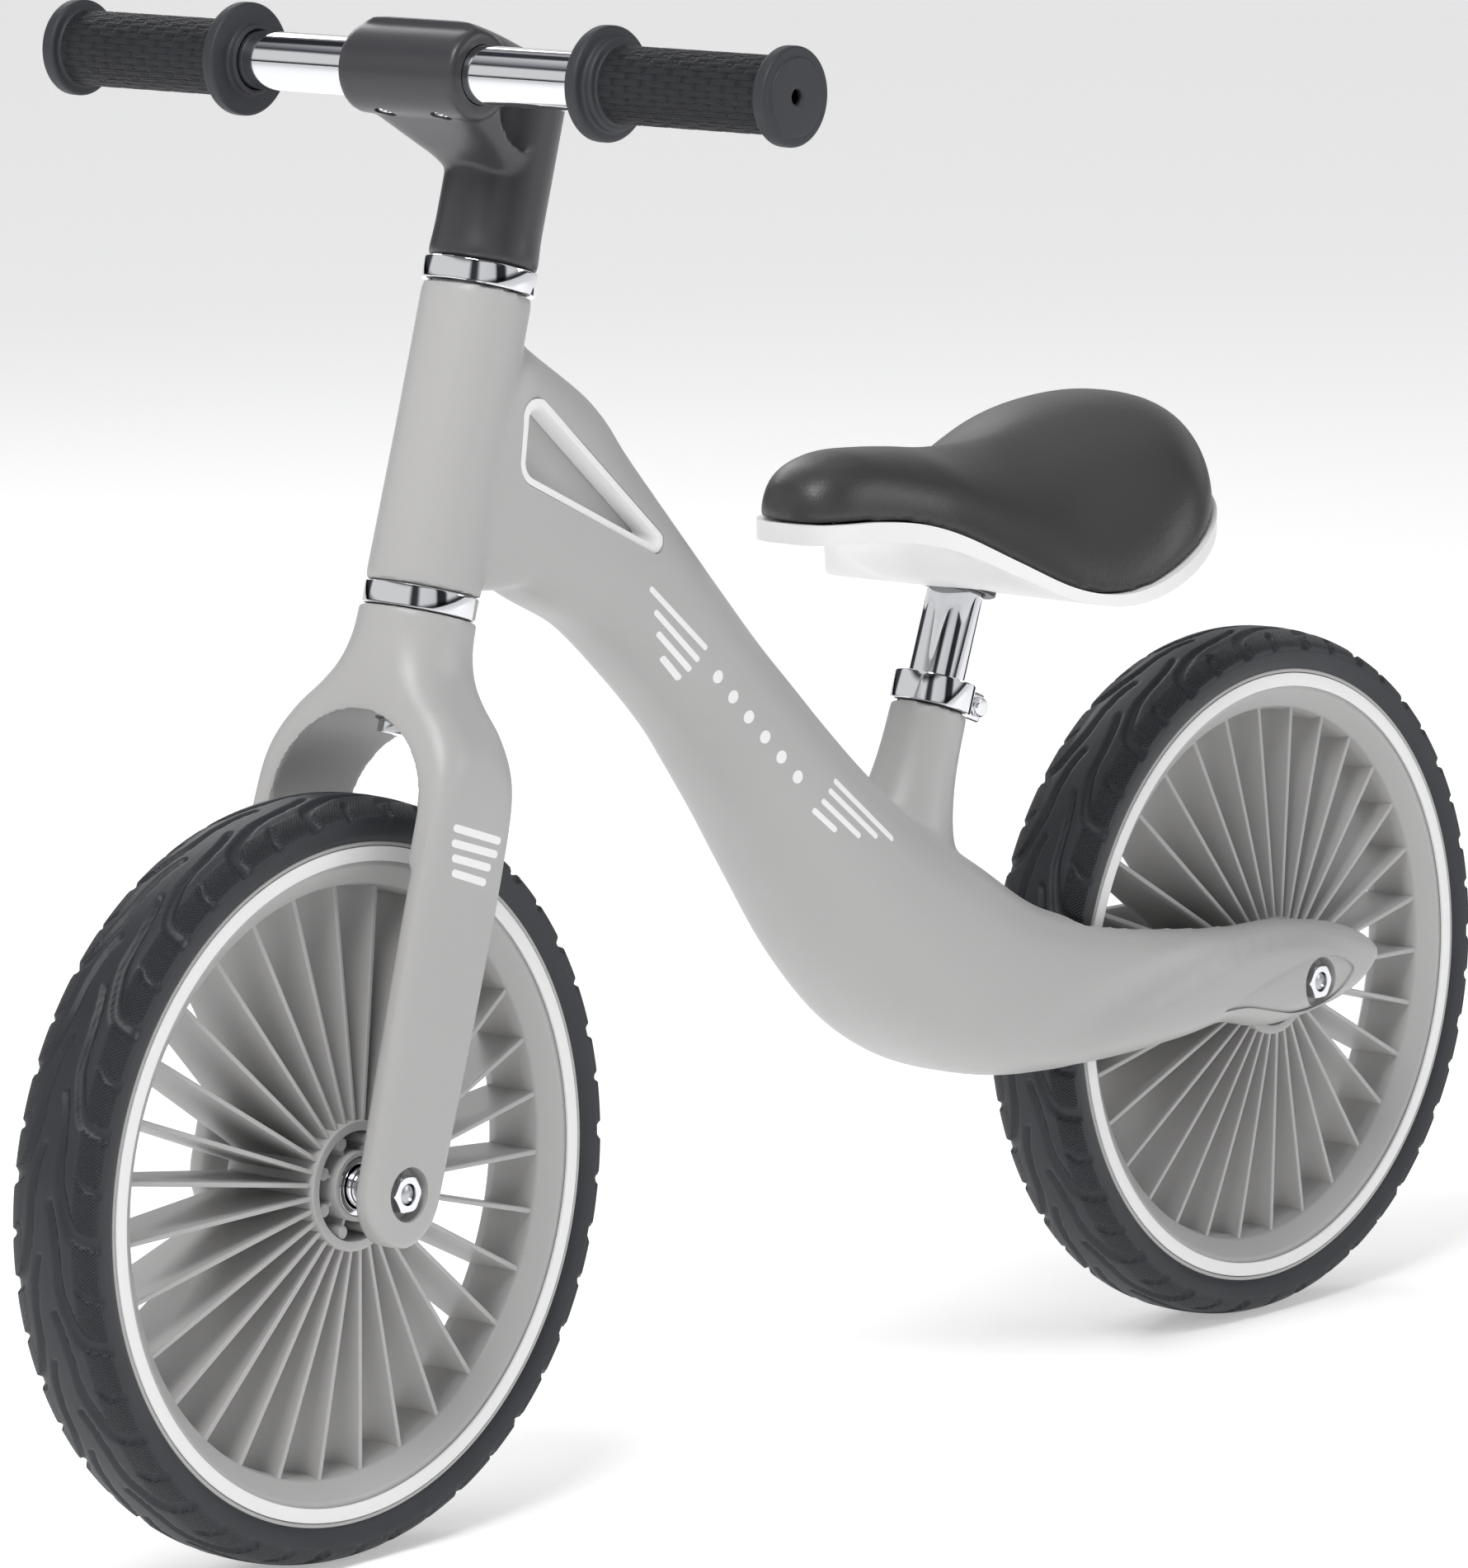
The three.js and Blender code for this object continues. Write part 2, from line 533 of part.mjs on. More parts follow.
// ---- Frame ----
// Stations of the beam, belly and stays: share of the way from the head tube to the rear axle,
// rise of the centre, half height, half width, squareness.
const BEAM = [
  [0, -3, 45, 20.5, 3.4], [0.03, -3, 48, 21, 3.6], [0.084, 1, 41.5, 21.5, 3.5], [0.128, -2.1, 36.9, 21.8, 3.1],
  [0.186, -6.8, 31.2, 22.5, 2.7], [0.259, -17, 28, 24.5, 2.5], [0.319, -26.5, 27, 26, 2.4],
  [0.364, -34.5, 28, 28, 2.4], [0.415, -44, 29.7, 30.5, 2.4], [0.475, -55, 33, 34, 2.4],
  [0.546, -66, 37.5, 38, 2.5], [0.616, -71, 41, 41.5, 2.7], [0.684, -71, 38.5, 44, 3],
  [0.745, -61.7, 33, 45.5, 3.4], [0.803, -47.9, 28.3, STAY_OUTER, 4], [0.859, -32.3, 24.5, STAY_OUTER, 4.4],
  [0.905, -18.5, 21.5, STAY_OUTER, 4.4], [0.959, -5.8, 24, STAY_OUTER, 4.4], [1.019, 11.8, 19.5, STAY_OUTER, 4],
  [1.046, 21.9, 12.5, STAY_OUTER, 4], [1.059, 26.8, 5, STAY_OUTER - 1, 3],
];

function beamSections(inset, from, to) {
  const centres = BEAM.map(([along, rise]) => onBeam(along, rise));
  const line = new THREE.CatmullRomCurve3(centres);
  return BEAM.slice(from, to).map(([, , tall, wide, squareness], i) => {
    const run = line.getTangent((i + from) / (BEAM.length - 1));
    const up = new THREE.Vector3(-run.z, 0, run.x).normalize().multiplyScalar(tall - inset);
    return section(centres[i + from], up, new THREE.Vector3(0, wide - inset, 0), squareness);
  });
}

function seatTube() {
  const [r, top] = [SEAT_TUBE_RADIUS, SEAT_TUBE_LENGTH];
  return turned([
    [0, 0], [r + 16, 8], [r + 15, 25], [r + 9.5, 42], [r + 4.5, 56], [r + 1.8, 70], [r + 0.5, 84],
    [r, top], [0, top],
  ], 28);
}

function headTube() {
  const middle = (headBottom + headTop) / 2;
  const waist = (HEAD_RADIUS_LOW + HEAD_RADIUS_HIGH) / 2 - 0.3;
  return turned([
    [0, headBottom], [HEAD_RADIUS_LOW - 0.6, headBottom], [HEAD_RADIUS_LOW, headBottom + 1.5],
    [waist, middle], [HEAD_RADIUS_HIGH, headTop - 1.5], [HEAD_RADIUS_HIGH - 0.6, headTop], [0, headTop],
  ], 36);
}

function headBore() {
  const ends = [
    rodProfile(HEADSET_RADIUS + GAP, headBottom - 1, headBottom + HEADSET_HEIGHT + 0.5 + GAP),
    rodProfile(HEADSET_RADIUS + GAP, headTop - HEADSET_HEIGHT - 0.5 - GAP, headTop + 1),
    rodProfile(STEERER_RADIUS + 1.5, headBottom - 1, headTop + 1),
  ];
  return join(...ends.map((profile) => turned(profile, 24))).transform(steering.elements);
}

// Room for the rear wheel: a disc between the stays.
function wheelSlot() {
  const radius = TYRE_RADIUS + SLOT_CLEARANCE;
  return turned(rodProfile(radius, -STAY_INNER, STAY_INNER), 48, true).translate([rearAxle.x, 0, rearAxle.z]);
}

// The pocket in each flank behind the head tube, a triangle with round corners: along, rise, radius.
const WINDOW_CORNERS = [[0.035, 18.5, 8], [0.049, 5, 10.5], [0.187, 4.3, 4.6]];
const CORNER_STEPS = 6;

function windowShape(inset) {
  const corners = WINDOW_CORNERS.map(([along, rise, radius]) => [onBeam(along, rise), radius - inset]);
  const points = corners.flatMap(([centre, radius], i) => {
    const [before] = corners[(i + 2) % 3];
    const [after] = corners[(i + 1) % 3];
    const first = outwardAngle(before, centre);
    let sweep = outwardAngle(centre, after) - first;
    if (sweep < 0) sweep += 2 * Math.PI;
    return Array.from({ length: CORNER_STEPS }, (_, k) => {
      const angle = first + (sweep * k) / (CORNER_STEPS - 1);
      return new THREE.Vector2(centre.x + radius * Math.cos(angle), centre.z + radius * Math.sin(angle));
    });
  });
  return new THREE.Shape(points);
}

// The direction that points out of an outline on its way from one corner to the next.
function outwardAngle(from, to) {
  return Math.atan2(to.z - from.z, to.x - from.x) - Math.PI / 2;
}

function windowPlug(inset, low, high, side) {
  const options = { depth: high - low, bevelEnabled: false };
  const geometry = new THREE.ExtrudeGeometry(windowShape(inset), options);
  return solid(geometry.rotateX(Math.PI / 2).translate(0, side > 0 ? high : -low, 0));
}

const WINDOW_FLOOR = 12;
const WINDOW_FACE = 21;

function windowTrim(side) {
  const outer = windowPlug(GAP, WINDOW_FLOOR + GAP, WINDOW_FACE, side);
  return cut(outer, windowPlug(3.6, WINDOW_FLOOR, WINDOW_FACE + 1, side));
}

function frameBody() {
  const body = join(
    headTube().transform(steering.elements),
    loft(beamSections(0, 0, BEAM.length)),
    seatTube().transform(seat.elements),
  );
  const postHole = turned(rodProfile(POST_RADIUS + SLEEVE_WALL + 2 * GAP, 5, SEAT_TUBE_LENGTH + 1), 24);
  const hollow = loft(beamSections(FRAME_WALL, 4, 13));
  const pockets = sides.map(([, side]) => windowPlug(0, WINDOW_FLOOR, WINDOW_FACE + 9, side));
  const axle = axleCutters(STAY_OUTER, STAY_OUTER - 0.8).translate([rearAxle.x, 0, rearAxle.z]);
  return cut(body, headBore(), postHole.transform(seat.elements), hollow, wheelSlot(), axle, ...pockets);
}

function framePieces() {
  add(bikeFrame, "frame", frameBody(), "grey");
  for (const [name, side] of sides) {
    add(bikeFrame, `window_trim_${name}`, windowTrim(side), "white");
  }
}

// ---- Seat clamp, post and saddle, along the seat tube's axis ----
function clampPieces() {
  const [low, high] = [clampBottom, clampBottom + CLAMP_HEIGHT];
  const bore = POST_RADIUS + SLEEVE_WALL + 2 * GAP;
  const ear = solid(block(12, 13, CLAMP_HEIGHT, CLAMP_RADIUS + 3, 0, (low + high) / 2));
  const band = join(turned(rodProfile(CLAMP_RADIUS, low, high), 36), ear);
  const slit = solid(block(20, 2, 2 * CLAMP_HEIGHT, CLAMP_RADIUS + 2, 0, (low + high) / 2));
  const hole = turned(rodProfile(bore, low - 1, high + 1), 24);
  const boltLine = (made) => made.translate([CLAMP_RADIUS + 5, 0, (low + high) / 2]);
  const boltHole = boltLine(turned(rodProfile(2.5 + GAP, -10, 10), 12, true));
  add(seatFrame, "seat_clamp", cut(band, hole, slit, boltHole), "chrome");
  const shank = turned(rodProfile(2.5, -7, 10), 12, true);
  const head = turned(rodProfile(4, -9.5, -6.5 - GAP), 16, true);
  add(seatFrame, "seat_clamp_bolt", boltLine(join(shank, head)), "chrome");
  const nut = lengthways(hexagon(7, 6.5 + GAP, 9.5, 2.5 + GAP), 1);
  add(seatFrame, "seat_clamp_nut", boltLine(nut), "chrome");
  const sleeve = [[POST_RADIUS + GAP, high], [bore - GAP, high], [bore - GAP, 30], [POST_RADIUS + GAP, 30]];
  add(seatFrame, "seat_tube_sleeve", turned([...sleeve, sleeve[0]], 24), "black");
}

function postPieces() {
  const low = clampBottom + CLAMP_HEIGHT - POST_INSERTED;
  const tube = turned(ringProfile(POST_RADIUS - POST_WALL, POST_RADIUS, low, postTop), 24);
  add(seatFrame, "seat_post", tube, "chrome");
  const [r, outer, high] = [POST_RADIUS + GAP, COLLAR_RADIUS, postTop - COLLAR_DROP];
  const collar = [
    [r, high - COLLAR_HEIGHT], [outer - 1.2, high - COLLAR_HEIGHT], [outer, high - COLLAR_HEIGHT + 1.2],
    [outer, high], [r, high], [r, high - COLLAR_HEIGHT],
  ];
  add(seatFrame, "seat_post_collar", turned(collar, 28), "black");
}

// Saddle stations along X from the top of the post: half width, lip height, underside in the middle
// plane, pad crown, pad squareness. Heights are from the top of the post.
const SADDLE = [
  [SADDLE_NOSE, 8, 28, 20.5, 36, 2.4], [SADDLE_NOSE + 4, 17, 28, 20, 44, 2.4],
  [SADDLE_NOSE + 14, 23.5, 28, 19.5, 50.5, 2.6], [SADDLE_NOSE + 30, 27, 27.5, 17.5, 54, 2.5],
  [-62, 31, 25, 11, 53.5, 2.2], [-44, 37, 19, -1, 52, 2], [-26, 50, 8, -5.5, 50, 1.7],
  [-8, 64, -3, -8, 49.5, 1.55], [10, 72, -7, -11.5, 50, 1.55], [28, 76.5, -5, -10, 52.5, 1.7],
  [48, SADDLE_HALF_WIDTH, 2, -4, 57.5, 1.9], [68, 74, 11.5, 5, 61.5, 2.1], [88, 61.5, 19.5, 12.5, 63, 2.2],
  [102, 45, 25, 18, 59, 2.3], [111, 27, 28, 20.5, 50, 2.3], [SADDLE_TAIL, 10, 29, 22.5, 38, 2.3],
];
const HALF_ACROSS = 8; // points from the middle plane to an edge

// Heights of the shell across a station: it bends evenly from the middle to the flat underside of
// the lip.
function shellHeight(station, y, thick, edge) {
  const [, width, lip, under] = station;
  const share = Math.min(Math.abs(y) / width / 0.86, 1) ** 2;
  return (under + thick) * (1 - share) + (lip - edge) * share;
}

function across(station, margin, height) {
  const [x, width] = station;
  return Array.from({ length: 2 * HALF_ACROSS + 1 }, (_, i) => {
    const y = (width - margin) * (i / HALF_ACROSS - 1);
    return new THREE.Vector3(x, y, height(y));
  });
}

// The lip is deepest at the nose and thinnest in front of the wings.
function lipHeight(x) {
  const waist = Math.max(0, 1 - Math.abs(x) / 60);
  return (x < 0 ? LIP_HEIGHT + 2.5 : LIP_HEIGHT + 1) * (1 - waist) + (LIP_HEIGHT - 1) * waist;
}

function shellRing(station) {
  const edge = lipHeight(station[0]);
  const under = across(station, 0, (y) => shellHeight(station, y, 0, edge));
  const top = across(station, 0, (y) => shellHeight(station, y, SADDLE_WALL, 0));
  return [...under.reverse(), ...top];
}

function padRing(station) {
  const [x, width, lip, , crown, squareness] = station;
  const floor = (y) => Math.max(lip, shellHeight(station, y, SADDLE_WALL, 0)) + GAP;
  const power = (value) => Math.sign(value) * Math.abs(value) ** (2 / squareness);
  const dome = Array.from({ length: 2 * HALF_ACROSS - 1 }, (_, i) => {
    const angle = (Math.PI * (i + 1)) / (2 * HALF_ACROSS);
    const rise = (crown - lip - GAP) * power(Math.sin(angle));
    return new THREE.Vector3(x, (width - 2) * power(Math.cos(angle)), lip + GAP + rise);
  });
  return [...across(station, 2, floor), ...dome];
}

function saddlePieces() {
  const place = group(new THREE.Matrix4().setPosition(postEnd));
  const lean = (made) => made.rotate([0, THREE.MathUtils.radToDeg(SEAT_ANGLE), 0]);
  const socketTop = 8;
  const socketRadius = COLLAR_RADIUS + 2.5;
  const collarTop = GAP - COLLAR_DROP;
  const socket = turned(rodProfile(socketRadius, collarTop, socketTop), 24);
  const room = turned(rodProfile(COLLAR_RADIUS + GAP, -60, collarTop), 24);
  const post = turned(rodProfile(POST_RADIUS + GAP, -60, GAP), 24);
  const boltHole = turned(rodProfile(3 + GAP, -30, 30), 12);
  const plate = cut(loft(SADDLE.map(shellRing)), lean(room));
  add(place, "saddle_base", cut(join(plate, lean(socket)), lean(post), lean(boltHole)), "white");
  const pocket = turned(rodProfile(socketRadius + GAP, -60, socketTop + GAP), 24);
  const headRoom = turned(rodProfile(8, socketTop, socketTop + 5), 16);
  const pad = cut(loft(SADDLE.map(padRing)), lean(pocket), lean(headRoom));
  add(place, "saddle_pad", pad, "pad");
  const shank = turned(rodProfile(3, -25, socketTop + 1), 12);
  const head = hexagon(10, socketTop + GAP, socketTop + 4);
  add(place, "saddle_bolt", lean(join(shank, head)), "steel");
}

steeringPieces();
barPieces();
framePieces();
clampPieces();
postPieces();
saddlePieces();

export default bike;
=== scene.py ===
# A child's balance bike with a moulded grey frame and fork, bladed wheels with foam tyres, a clamped bar
# with rubber grips and a padded saddle on a chromed post. Lengths in the tables are millimetres.
import math

import bmesh
import bpy
import numpy as np
from mathutils import Matrix, Vector
from mathutils.bvhtree import BVHTree


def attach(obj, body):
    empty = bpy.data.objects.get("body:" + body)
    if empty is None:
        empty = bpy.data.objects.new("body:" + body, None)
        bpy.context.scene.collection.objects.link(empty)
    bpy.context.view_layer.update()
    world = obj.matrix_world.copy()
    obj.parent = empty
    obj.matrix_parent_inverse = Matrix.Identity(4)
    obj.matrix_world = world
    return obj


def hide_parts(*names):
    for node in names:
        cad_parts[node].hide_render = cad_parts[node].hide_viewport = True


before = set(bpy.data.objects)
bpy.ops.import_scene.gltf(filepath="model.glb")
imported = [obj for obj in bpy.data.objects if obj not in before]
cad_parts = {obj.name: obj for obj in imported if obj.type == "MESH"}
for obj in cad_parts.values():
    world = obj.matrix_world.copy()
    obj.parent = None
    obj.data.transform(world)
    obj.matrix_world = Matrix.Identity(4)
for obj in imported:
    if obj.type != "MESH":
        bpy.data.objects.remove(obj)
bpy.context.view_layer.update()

# ---- Studio: a pale floor, soft boxes and the camera ----
# A white sweep lit from above and from both sides. Dark cards out of view give the chrome its dark
# bands, as a product studio does.
MM = 0.001


def linear(colour):
    """An sRGB hex colour as linear RGBA."""
    parts = [int(colour[i:i + 2], 16) / 255 for i in (1, 3, 5)]
    return [p / 12.92 if p <= 0.04045 else ((p + 0.055) / 1.055) ** 2.4 for p in parts] + [1]


def add_node(tree, kind, settings, links=()):
    """A shader node with its settings and input values, linked from (socket, node, output)."""
    node = tree.nodes.new(kind)
    for name, value in settings.items():
        if isinstance(name, int) or name in node.inputs:
            node.inputs[name].default_value = value
        else:
            setattr(node, name, value)
    for socket, source, output in links:
        tree.links.new(source.outputs[output], node.inputs[socket])
    return node


camera_data = bpy.data.cameras.new("camera")
camera_data.lens = 213.2
camera_data.sensor_width = 36
camera = bpy.data.objects.new("camera", camera_data)
camera.matrix_world = Matrix((
    (0.6443, 0.12197, -0.75498, -2.7866),
    (-0.76477, 0.1004, -0.63643, -2.31428),
    (-0.00183, 0.98744, 0.15796, 0.83868),
    (0, 0, 0, 1),
))
bpy.context.scene.collection.objects.link(camera)
bpy.context.scene.camera = camera


def pick(*objects):
    """Selects only these objects, the first of them active."""
    bpy.ops.object.select_all(action="DESELECT")
    for item in objects:
        item.select_set(True)
    bpy.context.view_layer.objects.active = objects[0]


def soft_box(name, place, aim, size, power):
    data = bpy.data.lights.new(name, "AREA")
    data.shape = "RECTANGLE"
    data.size, data.size_y = size
    data.energy = power
    light = bpy.data.objects.new(name, data)
    light.location = place
    light.rotation_euler = (Vector(aim) - Vector(place)).to_track_quat("-Z", "Y").to_euler()
    bpy.context.scene.collection.objects.link(light)


soft_box("key_box", (-1.9, -0.7, 2.9), (0, 0, 0.25), (1.3, 1.3), 62)
soft_box("side_box", (1.9, -2.4, 1.3), (0, 0, 0.3), (0.8, 1.2), 12)
soft_box("back_box", (1.0, 2.4, 2.0), (0, 0, 0.3), (1.6, 0.9), 18)
bpy.context.scene.view_settings.view_transform = "Standard"

world = bpy.data.worlds.new("studio")
bpy.context.scene.world = world
world.use_nodes = True
sky = world.node_tree
sky.nodes.clear()
where = add_node(sky, "ShaderNodeTexCoord", {})
split = add_node(sky, "ShaderNodeSeparateXYZ", {}, [("Vector", where, "Generated")])
# The room by height: a pale floor, dark cards at two heights, soft boxes between them.
by_height = add_node(sky, "ShaderNodeValToRGB", {}, [("Fac", add_node(
    sky, "ShaderNodeMapRange", {"From Min": -1, "From Max": 1}, [("Value", split, "Z")]), "Result")])
stops = [(0, "#f0f0f2"), (0.44, "#e4e4e7"), (0.47, "#2c2d31"), (0.52, "#3b3c41"), (0.56, "#ffffff"),
         (0.74, "#ffffff"), (0.78, "#3a3b40"), (0.82, "#8d8e93"), (0.9, "#f4f4f6")]
by_height.color_ramp.elements[0].color = linear(stops[0][1])
by_height.color_ramp.elements[1].color = linear("#ffffff")
for place, tone in stops[1:]:
    by_height.color_ramp.elements.new(place).color = linear(tone)
# The room all round: dark stands between the bright windows.
turned = add_node(sky, "ShaderNodeMath", {"operation": "ARCTAN2"}, [(0, split, "Y"), (1, split, "X")])
by_side = add_node(sky, "ShaderNodeValToRGB", {}, [("Fac", add_node(
    sky, "ShaderNodeMapRange", {"From Min": -math.pi, "From Max": math.pi}, [("Value", turned, "Value")]),
    "Result")])
by_side.color_ramp.elements[0].color = linear("#ffffff")
by_side.color_ramp.elements[1].color = linear("#ffffff")
for place, tone in ((0.05, "#ffffff"), (0.07, "#3c3d42"), (0.1, "#4a4b50"), (0.12, "#ffffff"),
                    (0.2, "#f2f2f4"),
                    (0.215, "#2e2f33"), (0.26, "#3a3b3f"), (0.275, "#ffffff"), (0.4, "#dcdce0"),
                    (0.42, "#55565b"), (0.47, "#55565b"), (0.49, "#ffffff"), (0.68, "#ffffff"),
                    (0.7, "#4a4b50"), (0.76, "#4a4b50"), (0.78, "#ffffff")):
    by_side.color_ramp.elements.new(place).color = linear(tone)
room = add_node(sky, "ShaderNodeMix", {"data_type": "RGBA", "blend_type": "MULTIPLY", 0: 1},
                [(6, by_height, "Color"), (7, by_side, "Color")])
lit = add_node(sky, "ShaderNodeBackground", {"Strength": 0.75}, [("Color", room, 2)])
plain = add_node(sky, "ShaderNodeBackground", {"Color": linear("#ffffff"), "Strength": 1})
seen = add_node(sky, "ShaderNodeLightPath", {})
shown = add_node(sky, "ShaderNodeMixShader", {},
                 [(0, seen, "Is Camera Ray"), (1, lit, "Background"), (2, plain, "Background")])
add_node(sky, "ShaderNodeOutputWorld", {}, [("Surface", shown, "Shader")])

bpy.ops.object.select_all(action="DESELECT")
bpy.ops.mesh.primitive_plane_add(size=60)
floor = bpy.context.object
floor.name = "floor"
sweep = bpy.data.materials.new("studio_floor_paint")
sweep.use_nodes = True
sweep.node_tree.nodes["Principled BSDF"].inputs["Base Color"].default_value = linear("#fdfdfd")
sweep.node_tree.nodes["Principled BSDF"].inputs["Roughness"].default_value = 0.9
sweep.node_tree.nodes["Principled BSDF"].inputs["Emission Color"].default_value = linear("#ffffff")
sweep.node_tree.nodes["Principled BSDF"].inputs["Emission Strength"].default_value = 0.35
floor.data.materials.append(sweep)

# ---- Wheels: foam tyres ----
# Each tyre is one moulded ring of closed-cell foam rubber, stretched over the rim. Swept grooves and
# short notches are moulded in its tread, with fine knurling on the shoulder blocks.
WHEELBASE = 570
TYRE_RADIUS = 145
FRONT_AXLE = Vector((-WHEELBASE / 2, 0, TYRE_RADIUS)) * MM
REAR_AXLE = Vector((WHEELBASE / 2, 0, TYRE_RADIUS)) * MM
GAP = 0.3
PITCHES = 22
PITCH = 2 * math.pi * TYRE_RADIUS / PITCHES
STEPS_PER_PITCH = 32
SWEPT_GROOVE = [
    (-1, 23, 2.6), (0, 20.5, 2.6), (2.2, 15, 2.4), (6, 12, 2.1), (11.8, 9.9, 1.8), (23.6, 6.9, 1.5),
    (36.4, 6.3, 1.25), (49.2, 4.6, 1.15), (55.4, 2.6, 1.1),
]
NOTCH = [(19, 23, 1.5), (20, 19.5, 1.5), (21.5, 16.5, 1.3), (24.5, 14.2, 1.1)]
TREAD_SECTION = [
    (129.3, 19.2), (130, 20.2), (132, 21.4), (134.5, 22), (136.6, 22.2), (137.4, 21.9), (138.6, 21.2),
    (140, 20), (141.6, 17.6), (143.1, 14), (144.2, 10), (144.8, 5.5), (145, 0),
]


def along_curve(points, spacing):
    """Points evenly spaced on a smooth curve through these."""
    points = np.array(points, float)
    ends = np.vstack([2 * points[0] - points[1], points, 2 * points[-1] - points[-2]])
    made = []
    for a, b, c, d in zip(ends, ends[1:], ends[2:], ends[3:]):
        count = max(2, round(float(np.linalg.norm(c[:2] - b[:2])) / spacing))
        for t in np.linspace(0, 1, count, endpoint=False):
            made.append(0.5 * (2 * b + (c - a) * t + (2 * a - 5 * b + 4 * c - d) * t * t
                               + (3 * b - a - 3 * c + d) * t ** 3))
    made.append(points[-1])
    return np.array(made)


def groove_depth(run, height, route, deep):
    """How far each tread point lies below the blocks, from its distance to a groove's middle line."""
    line = along_curve(route, 1.2)
    depth = np.zeros_like(run)
    for shift in (-2, -1, 0, 1):
        for s, y, half in line:
            gap = np.hypot(run - s - shift * PITCH, height - y)
            depth = np.maximum(depth, deep * np.clip((half + 0.45 - gap) / 0.9, 0, 1))
    return depth


def tread_relief(run, across, side_shift):
    near = np.mod(run - side_shift, PITCH)
    swept = groove_depth(near, np.abs(across), SWEPT_GROOVE, 1.7)
    notched = groove_depth(near, np.abs(across), NOTCH, 1.4)
    return np.maximum(swept, notched)


def make_grid_mesh(name, rows, closed_across):
    """A mesh from a grid of points that closes on itself along its length."""
    count, width = rows.shape[:2]
    index = np.arange(count * width).reshape(count, width)
    after = np.roll(index, -1, axis=0)
    if closed_across:
        beside, beside_after = np.roll(index, -1, axis=1), np.roll(after, -1, axis=1)
    else:
        index, after, beside, beside_after = index[:, :-1], after[:, :-1], index[:, 1:], after[:, 1:]
    faces = np.stack([index, after, beside_after, beside], axis=-1).reshape(-1, 4)
    data = bpy.data.meshes.new(name)
    data.from_pydata(rows.reshape(-1, 3).tolist(), [], faces.tolist())
    item = bpy.data.objects.new(name, data)
    bpy.context.scene.collection.objects.link(item)
    return item


def recalculate(item):
    """Turns every face of a closed piece outwards."""
    pick(item)
    bpy.ops.object.mode_set(mode="EDIT")
    bpy.ops.mesh.select_all(action="SELECT")
    bpy.ops.mesh.normals_make_consistent(inside=False)
    bpy.ops.object.mode_set(mode="OBJECT")


def make_tyre(name, centre):
    crown = along_curve(TREAD_SECTION, 0.95)
    half = len(crown)
    outer = np.vstack([crown, crown[-2::-1] * (1, -1)])
    inner = np.array([(129.2, -17.7), (123, -15.6), (117.2, -13.5), (117.2, 0), (117.2, 13.5), (123, 15.6),
                      (129.2, 17.7)])
    section = np.vstack([outer, inner])
    count = PITCHES * STEPS_PER_PITCH
    angle = 2 * math.pi * np.arange(count) / count
    run = (angle * TYRE_RADIUS)[:, None] * np.ones(len(outer))[None, :]
    across = np.ones(count)[:, None] * outer[:, 1][None, :]
    relief = np.where(across >= 0, tread_relief(run, across, 0), tread_relief(run, across, PITCH / 2))
    radius = outer[:, 0][None, :]
    fade = np.clip((radius - 137.2) / 1.2, 0, 1)
    step = 0.9 * np.clip((138.2 - radius) / 1.0, 0, 1)
    slope = np.gradient(outer, axis=0)
    normal = np.stack([-slope[:, 1], slope[:, 0]], axis=1)
    normal /= np.linalg.norm(normal, axis=1, keepdims=True)
    depth = relief * fade + step
    places = np.zeros((count, len(section), 3))
    for k in range(len(section)):
        sink = depth[:, k] if k < len(outer) else np.zeros(count)
        out = normal[k] if k < len(outer) else np.zeros(2)
        r = section[k, 0] - sink * abs(out[0])
        y = section[k, 1] - sink * abs(out[1]) * np.sign(section[k, 1])
        places[:, k] = np.stack([r * np.sin(angle), y, r * np.cos(angle)], axis=1) * MM
    item = make_grid_mesh(name, places + np.array(centre), True)
    block = np.zeros((count, len(section)))
    shoulder = np.clip((np.abs(across) - 12.2) / 1.2, 0, 1) * np.clip((radius - 138) / 0.8, 0, 1)
    block[:, :len(outer)] = shoulder * np.clip(1 - 2.5 * relief, 0, 1)
    knurl = item.data.attributes.new("knurl", "FLOAT", "POINT")
    knurl.data.foreach_set("value", block.ravel().astype(np.float32))
    runs = item.data.attributes.new("tread_place", "FLOAT_VECTOR", "POINT")
    flat = np.zeros((count, len(section), 3))
    flat[:, :, 0] = (angle * TYRE_RADIUS)[:, None]
    flat[:, :, 1] = section[:, 1][None, :]
    runs.data.foreach_set("vector", (flat * MM).ravel().astype(np.float32))
    recalculate(item)
    bpy.ops.object.shade_smooth()
    return item


# Closed-cell EVA foam rubber from a polished mould: near black with a blue cast, a dull sheen, and a
# fine cross-cut knurl on the shoulder blocks.
foam = bpy.data.materials.new("foam_rubber_moulded")
foam.use_nodes = True
tree = foam.node_tree
surface = tree.nodes["Principled BSDF"]
surface.inputs["Roughness"].default_value = 0.5
surface.inputs["Specular IOR Level"].default_value = 0.45
place = add_node(tree, "ShaderNodeTexCoord", {})
mottle = add_node(tree, "ShaderNodeTexNoise", {"Scale": 55, "Detail": 4}, [("Vector", place, "Object")])
tone = add_node(tree, "ShaderNodeValToRGB", {}, [("Fac", mottle, "Fac")])
tone.color_ramp.elements[0].color = linear("#202327")
tone.color_ramp.elements[1].color = linear("#2b2f35")
tree.links.new(tone.outputs["Color"], surface.inputs["Base Color"])
flat_place = add_node(tree, "ShaderNodeAttribute", {"attribute_name": "tread_place"})
mask = add_node(tree, "ShaderNodeAttribute", {"attribute_name": "knurl"})
